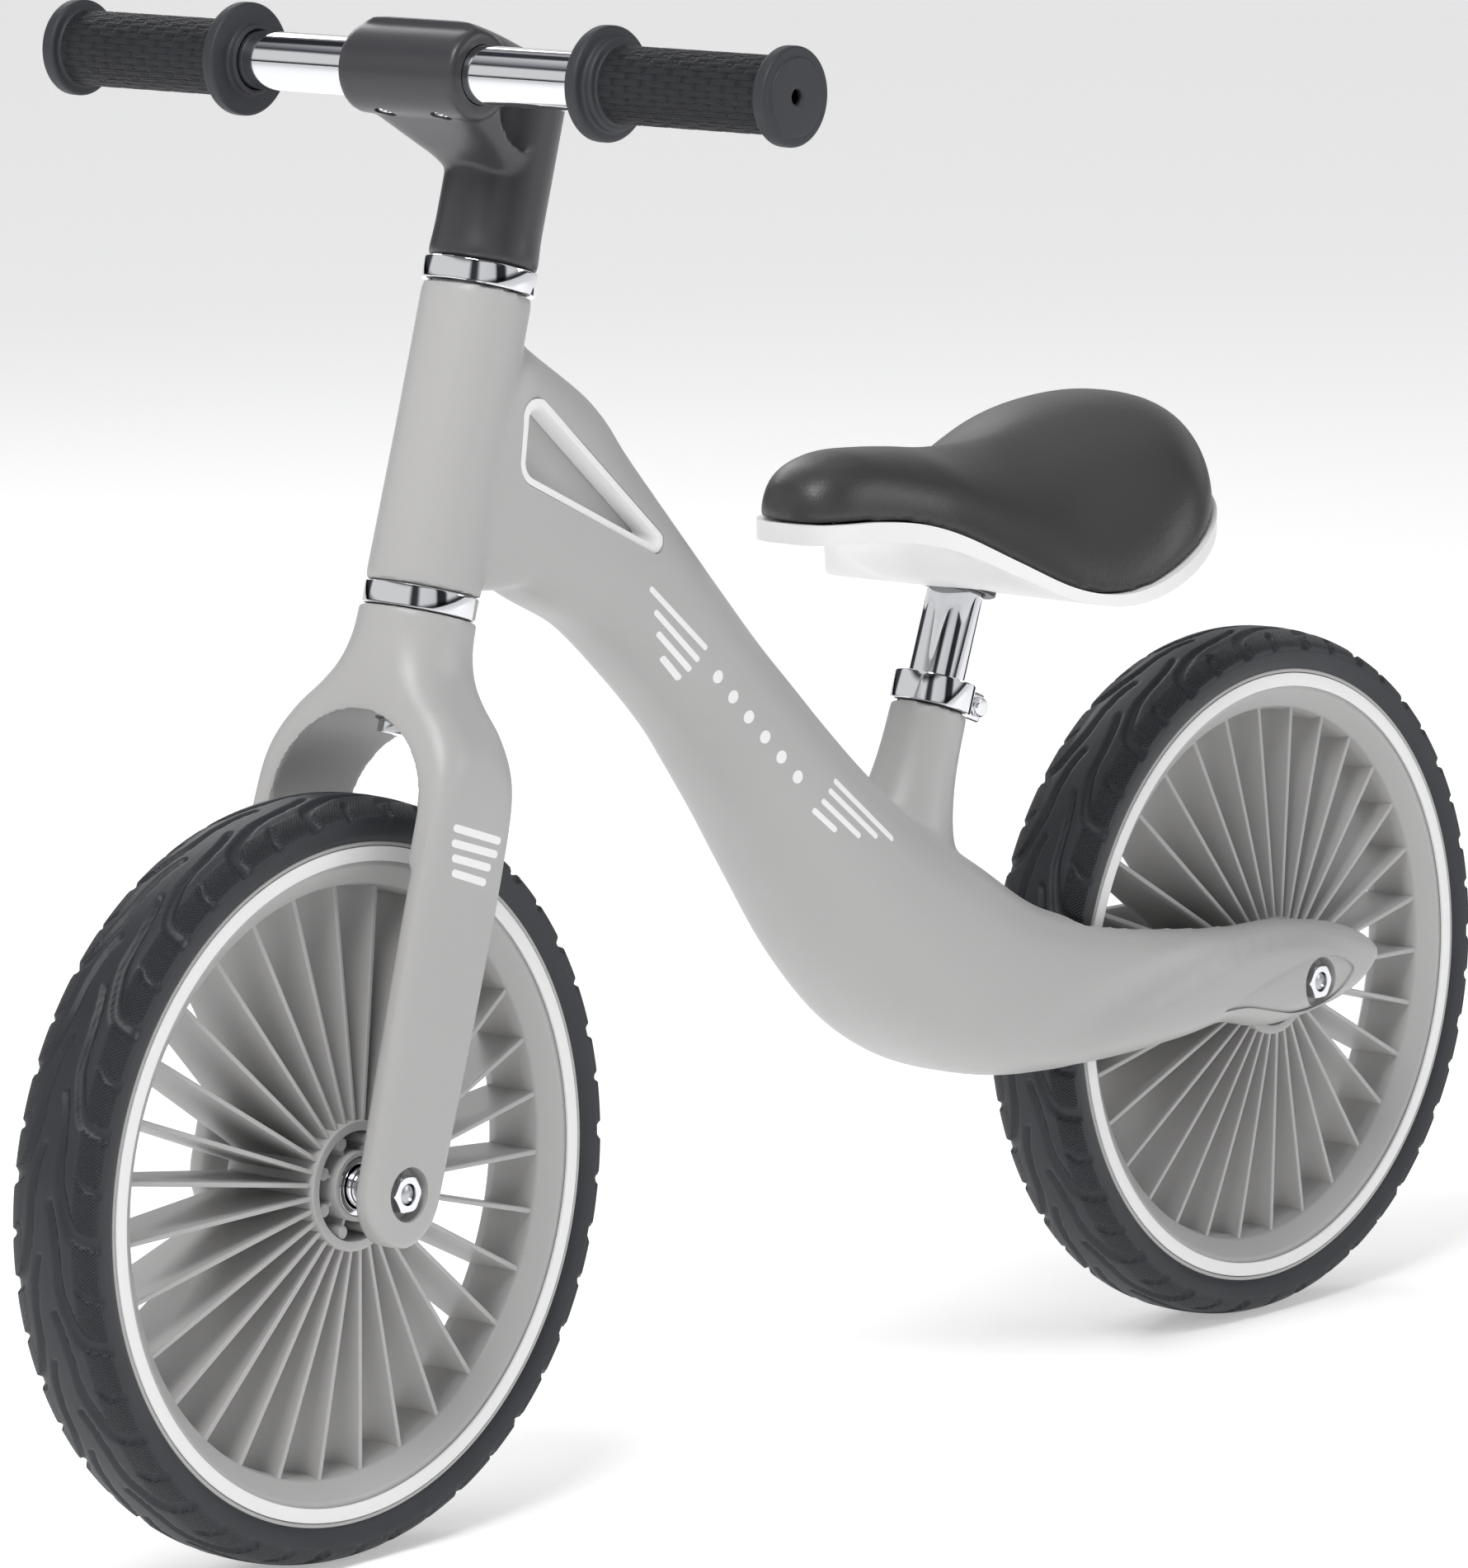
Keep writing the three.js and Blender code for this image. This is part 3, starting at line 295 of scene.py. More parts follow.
# Knurl: crossed waves 1.5 mm apart along the diagonals, which is 4200 radians a metre.
parts = add_node(tree, "ShaderNodeSeparateXYZ", {}, [("Vector", flat_place, "Vector")])
one = add_node(tree, "ShaderNodeMath", {"operation": "ADD"}, [(0, parts, "X"), (1, parts, "Y")])
other = add_node(tree, "ShaderNodeMath", {"operation": "SUBTRACT"}, [(0, parts, "X"), (1, parts, "Y")])
waves = []
for source in (one, other):
    scaled = add_node(tree, "ShaderNodeMath", {"operation": "MULTIPLY", 1: 4200}, [(0, source, "Value")])
    waves.append(add_node(tree, "ShaderNodeMath", {"operation": "SINE"}, [(0, scaled, "Value")]))
cross = add_node(tree, "ShaderNodeMath", {"operation": "MAXIMUM"},
                 [(0, waves[0], "Value"), (1, waves[1], "Value")])
masked = add_node(tree, "ShaderNodeMath", {"operation": "MULTIPLY"}, [(0, cross, "Value"), (1, mask, "Fac")])
knurled = add_node(tree, "ShaderNodeBump", {"Strength": 0.9, "Distance": 0.0004},
                   [("Height", masked, "Value")])
fine = add_node(tree, "ShaderNodeTexNoise", {"Scale": 1600, "Detail": 2}, [("Vector", place, "Object")])
skin = add_node(tree, "ShaderNodeBump", {"Strength": 0.12, "Distance": 0.0003},
                [("Height", fine, "Fac"), ("Normal", knurled, "Normal")])
tree.links.new(skin.outputs["Normal"], surface.inputs["Normal"])

for prefix, centre in (("front", FRONT_AXLE), ("rear", REAR_AXLE)):
    tyre = make_tyre(f"{prefix}_foam_tyre", centre)
    tyre.data.materials.append(foam)
    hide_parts(f"{prefix}_tyre")
    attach(tyre, f"{prefix}_wheel")

# ---- Wheels: rims and hubs ----
# Each rim is one injection moulding in grey nylon: a deep channel, 31 flat blades set edge-on, and an
# open hub barrel with keyhole ribs round the bearing boss.
LIES_ACROSS = Matrix.Rotation(math.radians(-90), 4, "X")


def rounded(profile, radius, steps=3):
    """A profile with each of its corners rounded, as far as its sides allow."""
    points = [np.array(p, float) for p in profile]
    closed = np.allclose(points[0], points[-1])
    ring = points[:-1] if closed else points
    made = []
    for i, corner in enumerate(ring):
        if not closed and i in (0, len(ring) - 1):
            made.append(corner)
            continue
        before, after = ring[i - 1], ring[(i + 1) % len(ring)]
        a, b = before - corner, after - corner
        reach = min(radius, 0.45 * np.linalg.norm(a), 0.45 * np.linalg.norm(b))
        start, end = corner + a / np.linalg.norm(a) * reach, corner + b / np.linalg.norm(b) * reach
        for t in np.linspace(0, 1, steps + 1):
            made.append((1 - t) ** 2 * start + 2 * t * (1 - t) * corner + t * t * end)
    if closed:
        made.append(made[0])
    return made


def turn(name, profile, place, radius=0.4, steps=96, sharp=32):
    """A round piece spun about its own Z from radius and height points, then put in its place."""
    points = rounded(profile, radius) if radius else profile
    data = bpy.data.meshes.new(name)
    edges = [(i, i + 1) for i in range(len(points) - 1)]
    data.from_pydata([(p[0] * MM, 0, p[1] * MM) for p in points], edges, [])
    item = bpy.data.objects.new(name, data)
    bpy.context.scene.collection.objects.link(item)
    pick(item)
    bpy.ops.object.mode_set(mode="EDIT")
    bpy.ops.mesh.select_all(action="SELECT")
    bpy.ops.mesh.spin(steps=steps, angle=2 * math.pi, center=(0, 0, 0), axis=(0, 0, 1))
    bpy.ops.mesh.select_all(action="SELECT")
    bpy.ops.mesh.remove_doubles(threshold=1e-6)
    bpy.ops.mesh.normals_make_consistent(inside=False)
    bpy.ops.object.mode_set(mode="OBJECT")
    data.transform(place)
    bpy.ops.object.shade_smooth_by_angle(angle=math.radians(sharp))
    return item


def ring_profile(inner, outer, low, high):
    return [(inner, low), (outer, low), (outer, high), (inner, high), (inner, low)]


def rod_profile(radius, low, high):
    return [(0, low), (radius, low), (radius, high), (0, high)]


def stands_for(item, node, material, body):
    """Finishes a piece: its material, the CAD node that it stands for and the body that it rides on."""
    item.data.materials.clear()
    item.data.materials.append(material)
    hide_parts(node)
    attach(item, body)
    return item


def moulded(name, light, dark, roughness, grain, depth):
    """A moulded plastic: a faint cloud of two tones and a fine spark-eroded grain, its size in mm."""
    material = bpy.data.materials.new(name)
    material.use_nodes = True
    tree = material.node_tree
    surface = tree.nodes["Principled BSDF"]
    surface.inputs["Roughness"].default_value = roughness
    surface.inputs["IOR"].default_value = 1.5
    place = add_node(tree, "ShaderNodeTexCoord", {})
    cloud = add_node(tree, "ShaderNodeTexNoise", {"Scale": 9, "Detail": 3}, [("Vector", place, "Object")])
    tone = add_node(tree, "ShaderNodeValToRGB", {}, [("Fac", cloud, "Fac")])
    tone.color_ramp.elements[0].color = linear(dark)
    tone.color_ramp.elements[1].color = linear(light)
    tree.links.new(tone.outputs["Color"], surface.inputs["Base Color"])
    grit = add_node(tree, "ShaderNodeTexNoise", {"Scale": 1000 / grain, "Detail": 2},
                    [("Vector", place, "Object")])
    bump = add_node(tree, "ShaderNodeBump", {"Strength": depth, "Distance": 0.0003},
                    [("Height", grit, "Fac")])
    tree.links.new(bump.outputs["Normal"], surface.inputs["Normal"])
    return material


# Glass-filled nylon from a spark-eroded mould: warm light grey, satin. The grain is 0.4 mm in life and
# drawn at 0.8 mm so that it shows.
grey_nylon = moulded("grey_nylon_moulded", "#b6b5b4", "#adacab", 0.4, 0.8, 0.12)
BLADES = 31
HUB_RIBS = 8


def box_piece(name, size, centre):
    bpy.ops.object.select_all(action="DESELECT")
    bpy.ops.mesh.primitive_cube_add(size=1)
    item = bpy.context.object
    item.name = name
    item.data.transform(Matrix.Translation(Vector(centre) * MM) @ Matrix.Diagonal([*(s * MM for s in size),
                                                                                   1]))
    return item


def make_blade():
    """One flat blade, standing up from the hub: wide at the hub, narrower at the rim, edges rounded."""
    blade = box_piece("blade", (1.7, 42, 89.5), (0, 0, 23.5 + 44.75))
    for corner in blade.data.vertices:
        if corner.co.z > 60 * MM:
            corner.co.y *= 23.6 / 42
            corner.co.x *= 1.25
    pick(blade)
    bevel = blade.modifiers.new("edges", "BEVEL")
    bevel.width, bevel.segments = 0.55 * MM, 2
    bpy.ops.object.modifier_apply(modifier="edges")
    return blade


def copies_round(item, count, offset=0.0):
    """Copies of a piece turned about the wheel's axle, the first one included."""
    made = []
    for i in range(count):
        copy = item.copy()
        copy.data = item.data.copy()
        copy.data.transform(Matrix.Rotation(2 * math.pi * (i + offset) / count, 4, "Y"))
        bpy.context.scene.collection.objects.link(copy)
        made.append(copy)
    bpy.data.objects.remove(item)
    return made


def join(name, items):
    pick(*items)
    bpy.ops.object.join()
    items[0].name = name
    items[0].data.name = name
    return items[0]


def make_rim(name, centre):
    band = turn("band", [
        (117.2, -13.8), (129, -17.9), (129, -19.5), (127.4, -19.5), (127.4, -18.3), (119.8, -18.3),
        (112.4, -12.5), (111, -8), (110.9, 0), (111, 8), (112.4, 12.5), (119.8, 18.3), (127.4, 18.3),
        (127.4, 19.5), (129, 19.5), (129, 17.9), (117.2, 13.8), (117.2, -13.8),
    ], LIES_ACROSS, 0.8, 180)
    barrel = turn("barrel", ring_profile(20.9, 24.7, -22, 22), LIES_ACROSS, 0.6, 96)
    boss = turn("boss", [
        (11.2, -22.9), (13.2, -22.9), (13.2, 22.9), (11.2, 22.9), (11.2, 15.8), (8.6, 15.8), (8.6, -15.8),
        (11.2, -15.8), (11.2, -22.9),
    ], LIES_ACROSS, 0.3, 64)
    web = turn("web", ring_profile(12.8, 21.2, -1.5, 1.5), LIES_ACROSS, 0, 64)
    rib = box_piece("rib", (1.4, 39, 8.6), (0, 0, 16.9))
    knob = turn("knob", rod_profile(2.5, -20.6, 20.6), Matrix.Translation((0, 0, 18.1 * MM)) @ LIES_ACROSS,
                0.4, 24)
    keyhole = join("keyhole", [rib, knob])
    rim = join(name, [band, barrel, boss, web, *copies_round(keyhole, HUB_RIBS, 0.5),
                      *copies_round(make_blade(), BLADES)])
    rim.data.transform(Matrix.Translation(centre))
    return rim


for prefix, centre in (("front", FRONT_AXLE), ("rear", REAR_AXLE)):
    rim = make_rim(f"{prefix}_bladed_rim", centre)
    stands_for(rim, f"{prefix}_rim", grey_nylon, f"{prefix}_wheel")

# ---- Wheels: trim rings, bearings, axles and nuts ----
# White rings snap into the rim lips. The bearings, cones and nuts are chromed steel, and the axles are
# zinc-plated M8 studs with a rolled thread.
white_plastic = moulded("white_polypropylene_moulded", "#f2f2f2", "#ebebeb", 0.34, 0.9, 0.05)


def metal(name, colour, roughness, haze):
    """A plated metal with a faint unevenness in its polish."""
    material = bpy.data.materials.new(name)
    material.use_nodes = True
    tree = material.node_tree
    surface = tree.nodes["Principled BSDF"]
    surface.inputs["Base Color"].default_value = linear(colour)
    surface.inputs["Metallic"].default_value = 1
    place = add_node(tree, "ShaderNodeTexCoord", {})
    wear = add_node(tree, "ShaderNodeTexNoise", {"Scale": 120, "Detail": 5}, [("Vector", place, "Object")])
    polish = add_node(tree, "ShaderNodeMapRange", {"To Min": roughness, "To Max": roughness + haze},
                      [("Value", wear, "Fac")])
    tree.links.new(polish.outputs["Result"], surface.inputs["Roughness"])
    return material


# Bright chrome plate on polished steel: mirror-like, very slightly hazed.
chrome = metal("chrome_plate_polished", "#e4e5e8", 0.04, 0.05)
# Zinc plate on cut thread: duller and greyer than chrome.
zinc = metal("zinc_plate", "#b9bcc0", 0.25, 0.2)


def cut(item, *tools):
    """Cuts closed tools out of a piece, and removes them."""
    for tool in tools:
        pick(item)
        change = item.modifiers.new("cut", "BOOLEAN")
        change.operation, change.solver, change.object = "DIFFERENCE", "EXACT", tool
        bpy.ops.object.modifier_apply(modifier="cut")
        bpy.data.objects.remove(tool)
    return item


def make_nut(name, flats, low, high, bore, place):
    """A hexagon with its corners chamfered round, and a bore if it has one."""
    corner = flats / 2 / math.cos(math.pi / 6)
    nut = turn(name, rod_profile(corner, low, high), Matrix.Identity(4), 0, 6)
    crown = turn("crown", rod_profile(corner + 0.05, low - 0.01, high + 0.01), Matrix.Identity(4), 1.1, 48)
    pick(nut)
    change = nut.modifiers.new("crown", "BOOLEAN")
    change.operation, change.solver, change.object = "INTERSECT", "EXACT", crown
    bpy.ops.object.modifier_apply(modifier="crown")
    bpy.data.objects.remove(crown)
    if bore:
        cut(nut, turn("hole", rod_profile(bore, low - 1, high + 1), Matrix.Identity(4), 0, 32))
    nut.data.transform(place)
    pick(nut)
    bpy.ops.object.shade_smooth_by_angle(angle=math.radians(30))
    return nut


def threaded(radius, low, high, pitch=1.25):
    """A rod's profile with a rolled thread."""
    points = [(0, low), (radius - 0.7, low), (radius - 0.1, low + 0.7)]
    height = low + 1
    while height < high - 1 - pitch:
        points += [(radius, height), (radius - 0.45, height + pitch / 2)]
        height += pitch
    return points + [(radius - 0.1, high - 0.7), (radius - 0.7, high), (0, high)]


LEG_INNER, LEG_OUTER = 36.5, 48
STAY_INNER, STAY_OUTER = 31, 46
for prefix, centre, inner, outer, body in (
    ("front", FRONT_AXLE, LEG_INNER, LEG_OUTER - 0.6, "steering"),
    ("rear", REAR_AXLE, STAY_INNER, STAY_OUTER - 0.8, "frame"),
):
    axle = turn(f"{prefix}_axle_stud", threaded(3.9, 0.6 - outer, outer - 0.6),
                Matrix.Translation(centre) @ LIES_ACROSS, 0, 32, 60)
    stands_for(axle, f"{prefix}_axle", zinc, body)
    for side_name, turn_over in (("left", 1), ("right", -1)):
        side = Matrix.Translation(centre) @ Matrix.Rotation(math.radians(90 * turn_over), 4, "X")
        wheel_body = f"{prefix}_wheel"
        trim = turn(f"{prefix}_trim_ring_{side_name}", ring_profile(121.6, 127.1, 18.6, 19.8), side, 0.4, 180)
        stands_for(trim, f"{prefix}_trim_{side_name}", white_plastic, wheel_body)
        bearing = turn(f"{prefix}_bearing_shell_{side_name}",
                       [(8.2, 16), (11, 16), (11, 23), (8.6, 23), (8.2, 21), (8.2, 16)], side, 0.35, 64)
        stands_for(bearing, f"{prefix}_bearing_{side_name}", chrome, wheel_body)
        locknut_face = inner - GAP
        cone = turn(f"{prefix}_bearing_cone_{side_name}", [
            (4.2, 16), (7.7, 16), (7.7, 24), (7.2, 25), (6.4, 25), (6.4, locknut_face - 4.3),
            (4.2, locknut_face - 4.3), (4.2, 16),
        ], side, 0.3, 48)
        stands_for(cone, f"{prefix}_cone_{side_name}", chrome, body)
        locknut = make_nut(f"{prefix}_thin_nut_{side_name}", 13, locknut_face - 4, locknut_face, 4.2, side)
        stands_for(locknut, f"{prefix}_locknut_{side_name}", chrome, body)
        nut = make_nut(f"{prefix}_axle_nut_{side_name}", 13, outer - 6, outer, 4.2, side)
        stands_for(nut, f"{prefix}_nut_{side_name}", chrome, body)

# ---- Fork, steerer and headset ----
# The fork is one moulding in the same grey nylon: two flat legs that run up into a round neck over the
# wheel. A steel steerer tube stands in it, held by a long bolt from below, in two caged ball bearings.
HEAD_LEAN = math.radians(16.2)
SEAT_LEAN = math.radians(20.4)
STEERING = Matrix.Translation(FRONT_AXLE) @ Matrix.Rotation(HEAD_LEAN, 4, "Y")
ARCH_TOP = 175
NECK_TOP = 215.3
CUP_HEIGHT = 8.7
HEAD_BOTTOM = NECK_TOP + CUP_HEIGHT + 2 * GAP
HEAD_TOP = HEAD_BOTTOM + 115
STEM_BOTTOM = HEAD_TOP + CUP_HEIGHT + 2 * GAP
STEM_TOP = STEM_BOTTOM + 83
BAR_HEIGHT = STEM_BOTTOM + 63
STEM_REACH = 51.8


def smooth_table(table, per_gap):
    """The rows of a table with smooth rows between them, evenly many in each gap."""
    rows = np.array(table, float)
    ends = np.vstack([2 * rows[0] - rows[1], rows, 2 * rows[-1] - rows[-2]])
    made = []
    for a, b, c, d in zip(ends, ends[1:], ends[2:], ends[3:]):
        for t in np.linspace(0, 1, per_gap, endpoint=False):
            made.append(0.5 * (2 * b + (c - a) * t + (2 * a - 5 * b + 4 * c - d) * t * t
                               + (3 * b - a - 3 * c + d) * t ** 3))
    return np.array([*made, rows[-1]])


def round_section(centre, up, side, squareness, count=72):
    """A rounded ring: an ellipse at squareness 2, near a rectangle at 5 and over."""
    angle = 2 * math.pi * np.arange(count) / count
    a, b = np.cos(angle), np.sin(angle)
    a, b = (np.sign(v) * np.abs(v) ** (2 / squareness) for v in (a, b))
    return np.array(centre) + a[:, None] * np.array(up) + b[:, None] * np.array(side)


def skin(name, rings):
    """A closed piece over a row of rings, in mm, with a fan over each end."""
    rings = np.array(rings) * MM
    count, around = rings.shape[:2]
    points = [*rings.reshape(-1, 3), rings[0].mean(axis=0), rings[-1].mean(axis=0)]
    first, last = count * around, count * around + 1
    faces = []
    for k in range(around):
        n = (k + 1) % around
        faces.append((first, n, k))
        faces.append((last, (count - 1) * around + k, (count - 1) * around + n))
        faces += [(i * around + k, i * around + n, (i + 1) * around + n, (i + 1) * around + k)
                  for i in range(count - 1)]
    data = bpy.data.meshes.new(name)
    data.from_pydata([tuple(p) for p in points], [], faces)
    item = bpy.data.objects.new(name, data)
    bpy.context.scene.collection.objects.link(item)
    recalculate(item)
    return item


def extruded(name, outline, low, high, place=Matrix.Identity(4)):
    """A prism over an outline of (x, z) points, from y = low to y = high."""
    rings = [[(x, y, z) for x, z in outline] for y in (low, high)]
    item = skin(name, rings)
    item.data.transform(place)
    recalculate(item)
    return item


def blend(name, voxel, smoothing, *items):
    """Closed pieces grown together into one skin, its edges and inner corners softened."""
    item = join(name, list(items))
    pick(item)
    remesh = item.modifiers.new("remesh", "REMESH")
    remesh.mode, remesh.voxel_size = "VOXEL", voxel * MM
    bpy.ops.object.modifier_apply(modifier="remesh")
    soften = item.modifiers.new("soften", "SMOOTH")
    soften.factor, soften.iterations = 0.5, smoothing
    bpy.ops.object.modifier_apply(modifier="soften")
    return item


def finish_edges(item, degrees=32):
    pick(item)
    bpy.ops.object.shade_smooth_by_angle(angle=math.radians(degrees))


crown = skin("crown", [
    round_section((0, 0, height), (depth, 0, 0), (0, width, 0), square, 96)
    for height, width, depth, square in smooth_table([
        (120, 48, 22.9, 11), (135, 48, 23, 10), (150, 47.8, 23.1, 8), (163, 45.8, 23, 5.4),
        (175, 39.5, 22.7, 3.9),
        (185, 30.5, 22.8, 3), (194, 25, 22.3, 2.5), (204, 22.8, 22.3, 2.1), (NECK_TOP, 22.3, 22.3, 2),
    ], 8)
])
legs = []
for side in (-1, 1):
    rings = []
    for height, depth in [(20.5 * -math.cos(a), 20.5 * math.sin(a)) for a in np.linspace(0.12, 1.5, 20)] + [
            tuple(v) for v in smooth_table([(3, 20.6), (30, 21.4), (70, 22.4), (110, 22.8), (140, 22)], 8)]:
        thick = min(5.75, 0.6 + depth)
        rings.append(round_section((0, side * (LEG_INNER + 5.75), height), (depth, 0, 0), (0, thick, 0),
                                   3.6, 96))
    legs.append(skin("leg", rings))
arch_outline = [(LEG_INNER * math.cos(a), ARCH_TOP - LEG_INNER + LEG_INNER * math.sin(a))
                for a in np.linspace(0, math.pi, 49)]
arch_outline += [(-LEG_INNER, -60), (LEG_INNER, -60)]
arch = extruded("arch", arch_outline, -90, 90, Matrix.Rotation(math.radians(90), 4, "Z"))
cut(crown, arch)
fork = blend("fork_moulding", 1.3, 4, crown, *legs)
cut(fork,
    turn("bolt_seat", [(0, 150), (9, 150), (9, ARCH_TOP), (4.2, ARCH_TOP), (4.2, ARCH_TOP + 8),
                       (13, ARCH_TOP + 8), (13, NECK_TOP + 2), (0, NECK_TOP + 2)], Matrix.Identity(4), 0, 64),
    turn("axle_room",
         [(0, -60), (10.4, -60), (10.4, -41.1), (4.2, -41.1), (4.2, 41.1), (10.4, 41.1), (10.4, 60),
                       (0, 60)], LIES_ACROSS, 0, 64))
fork.data.transform(STEERING)
finish_edges(fork)
stands_for(fork, "fork", grey_nylon, "steering")

STEERER_TOP = STEM_TOP - 25
steerer = turn("steerer_steel_tube", ring_profile(10.7, 12.7, ARCH_TOP + 8.3, STEERER_TOP), STEERING, 0.3, 64)
stands_for(steerer, "steerer_tube", zinc, "steering")
shank = turn("shank", threaded(3.9, ARCH_TOP - 2, STEM_TOP - 10), Matrix.Identity(4), 0, 32, 60)
head = make_nut("steerer_long_bolt", 13, ARCH_TOP - 6, ARCH_TOP - GAP, 0, Matrix.Identity(4))
long_bolt = join("steerer_long_bolt", [head, shank])
long_bolt.data.transform(STEERING)
stands_for(long_bolt, "steerer_bolt", chrome, "steering")
nut = make_nut("stem_hex_nut", 13, STEERER_TOP + GAP, STEERER_TOP + GAP + 6, 4.2, STEERING)
stands_for(nut, "stem_nut", zinc, "steering")
for end, low in (("lower", NECK_TOP + GAP), ("upper", HEAD_TOP + GAP)):
    cup = turn(f"head_{end}_cup", ring_profile(13, 21.8, low, low + CUP_HEIGHT), STEERING, 0.9, 128)
    stands_for(cup, f"head_cup_{end}", chrome, "steering")
for end, low in (("lower", HEAD_BOTTOM + 0.5), ("upper", HEAD_TOP - 8.5)):
    race = turn(f"headset_{end}_race", ring_profile(13, 18, low, low + 8), STEERING, 0.5, 96)
    stands_for(race, f"headset_bearing_{end}", zinc, "steering")

# ---- Stem, bar and grips ----
# The stem is a dark moulding: a column over the steerer, an arm that flares out to a sleeve round the
# bar, and a pocket in each side below its deck. Two screws from below hold the chromed steel bar.
stem_nylon = moulded("dark_nylon_moulded", "#3b3b3f", "#343438", 0.36, 0.8, 0.12)
BAR_CENTRE = (-STEM_REACH, 0, BAR_HEIGHT)
ON_BAR = Matrix.Translation(Vector(BAR_CENTRE) * MM) @ LIES_ACROSS

column = turn("column", [
    (0, STEM_BOTTOM), (20.5, STEM_BOTTOM), (21, STEM_BOTTOM + 2), (20.3, STEM_BOTTOM + 12),
    (20.3, STEM_TOP - 16), (18.8, STEM_TOP - 9), (15.3, STEM_TOP - 3.5), (10.3, STEM_TOP - 1), (0, STEM_TOP),
], Matrix.Identity(4), 3)
rings = []
for along, drop, width, square in smooth_table([
    (1.14, 15, 28, 8), (1, 17.2, 28, 7.5), (0.79, 20.8, 27, 6), (0.58, 24.8, 25.3, 4.6),
    (0.37, 29.3, 22.8, 3.6), (0.17, 36.3, 20.5, 2.9), (0, 45, 18.5, 2.5),
], 8):
    low = BAR_HEIGHT - drop
    middle = (low + STEM_TOP) / 2
    rings.append(round_section((-along * STEM_REACH, 0, middle), (0, 0, STEM_TOP - middle - along),
                               (0, width, 0), square))
arm = skin("arm", rings)
pocket_outline = [(p, s) for p, s in [(-34, 423.5), (-35, 404), (-30.5, 397.8), (-23, 394), (-16, 392.2),
                                      (-10, 391.8), (-6, 394), (-3, 400), (-1, 423.5)]]
for low, high in ((-40, -11), (11, 40)):
    pocket = extruded("pocket", pocket_outline, low, high)
    cut(pocket, turn("post", rod_profile(20.2, 380, 440), Matrix.Identity(4), 0, 64))
    cut(arm, pocket)
sleeve = turn("sleeve", rod_profile(17, -29, 29), ON_BAR, 2.2)
stem = blend("stem_moulding", 1.0, 14, column, arm, sleeve)
screw_seats = []
for side_name, side in (("left", -1), ("right", 1)):
    lean = (Matrix.Translation(Vector((BAR_CENTRE[0], side * 14, BAR_HEIGHT)) * MM)
            @ Matrix.Rotation(math.radians(4), 4, "Y"))
    screw_seats.append(turn("seat", [(0, -45), (4.2, -45), (4.2, -14), (2.8, -14), (2.8, -10), (0, -10)],
                            lean, 0, 48))
    head = turn(f"stem_screw_{side_name}_pan", [
        (0, -16.6), (1.2, -16.6), (1.4, -15.6), (2.6, -16.3), (3.6, -15.4), (3.9, -14.3), (2.5, -14.3),
        (2.5, -11.4), (0, -11.4),
    ], lean, 0.25, 40)
    slot = box_piece("slot", (0.8, 4.4, 1.6), (0, 0, -16.8))
    slot.data.transform(lean)
    cut(head, slot)
    finish_edges(head)
    head.data.transform(STEERING)
    stands_for(head, f"stem_screw_{side_name}", chrome, "steering")
cut(stem,
    turn("bar_room", rod_profile(11.4, -40, 40), ON_BAR, 0, 96),
    turn("steerer_room",
         [(0, STEM_BOTTOM - 5), (13, STEM_BOTTOM - 5), (13, STEM_TOP - 24.7), (8, STEM_TOP - 24.7),
          (8, STEM_TOP - 18), (4.2, STEM_TOP - 18), (4.2, STEM_TOP - 9), (0, STEM_TOP - 9)],
         Matrix.Identity(4), 0, 64),
    *screw_seats)
stem.data.transform(STEERING)
finish_edges(stem)
stands_for(stem, "stem", stem_nylon, "steering")

bar = turn("chromed_bar", ring_profile(9.3, 11.1, -178, 178), STEERING @ ON_BAR, 0.5, 128)
stands_for(bar, "handlebar", chrome, "steering")

# Soft rubber, moulded: dark slate, dull, with a basket weave of fine ribs on the part that is held.
rubber = bpy.data.materials.new("rubber_grip_moulded")
rubber.use_nodes = True
tree = rubber.node_tree
surface = tree.nodes["Principled BSDF"]
surface.inputs["Roughness"].default_value = 0.58
place = add_node(tree, "ShaderNodeTexCoord", {})
cloud = add_node(tree, "ShaderNodeTexNoise", {"Scale": 40, "Detail": 3}, [("Vector", place, "Object")])
tone = add_node(tree, "ShaderNodeValToRGB", {}, [("Fac", cloud, "Fac")])
tone.color_ramp.elements[0].color = linear("#292a2f")
tone.color_ramp.elements[1].color = linear("#33353b")
tree.links.new(tone.outputs["Color"], surface.inputs["Base Color"])
weave = add_node(tree, "ShaderNodeAttribute", {"attribute_name": "weave"})
parts = add_node(tree, "ShaderNodeSeparateXYZ", {}, [("Vector", weave, "Vector")])
# X counts the strands round the grip and Y the crossings along it. Every other strand is set on by
# half a crossing. A strand has three ribs along it, and a crossing two ribs across it.


def sums(operation, *values):
    """A maths node fed by numbers and by (node, output) pairs."""
    numbers = {i: v for i, v in enumerate(values) if not isinstance(v, tuple)}
    wires = [(i, *v) for i, v in enumerate(values) if isinstance(v, tuple)]
    return add_node(tree, "ShaderNodeMath", {"operation": operation, **numbers}, wires), "Value"


strand_number = sums("FLOOR", (parts, "X"))
odd = sums("GREATER_THAN", sums("FRACT", sums("MULTIPLY", strand_number, 0.5)), 0.25)
place_along = sums("FRACT", sums("ADD", (parts, "Y"), sums("MULTIPLY", odd, 0.5)))
from_crossing = sums("ABSOLUTE", sums("SUBTRACT", place_along, 0.5))
crossing = sums("LESS_THAN", from_crossing, 0.075)
strand_ribs = sums("SINE", sums("MULTIPLY", (parts, "X"), 6 * math.pi))
cross_ribs = sums("SINE", sums("MULTIPLY", place_along, 28 * math.pi))
ribs = add_node(tree, "ShaderNodeMix", {"data_type": "FLOAT"},
                [(0, *crossing), (2, *strand_ribs), (3, *cross_ribs)])
held = add_node(tree, "ShaderNodeMath", {"operation": "MULTIPLY"}, [(0, ribs, 0), (1, parts, "Z")])
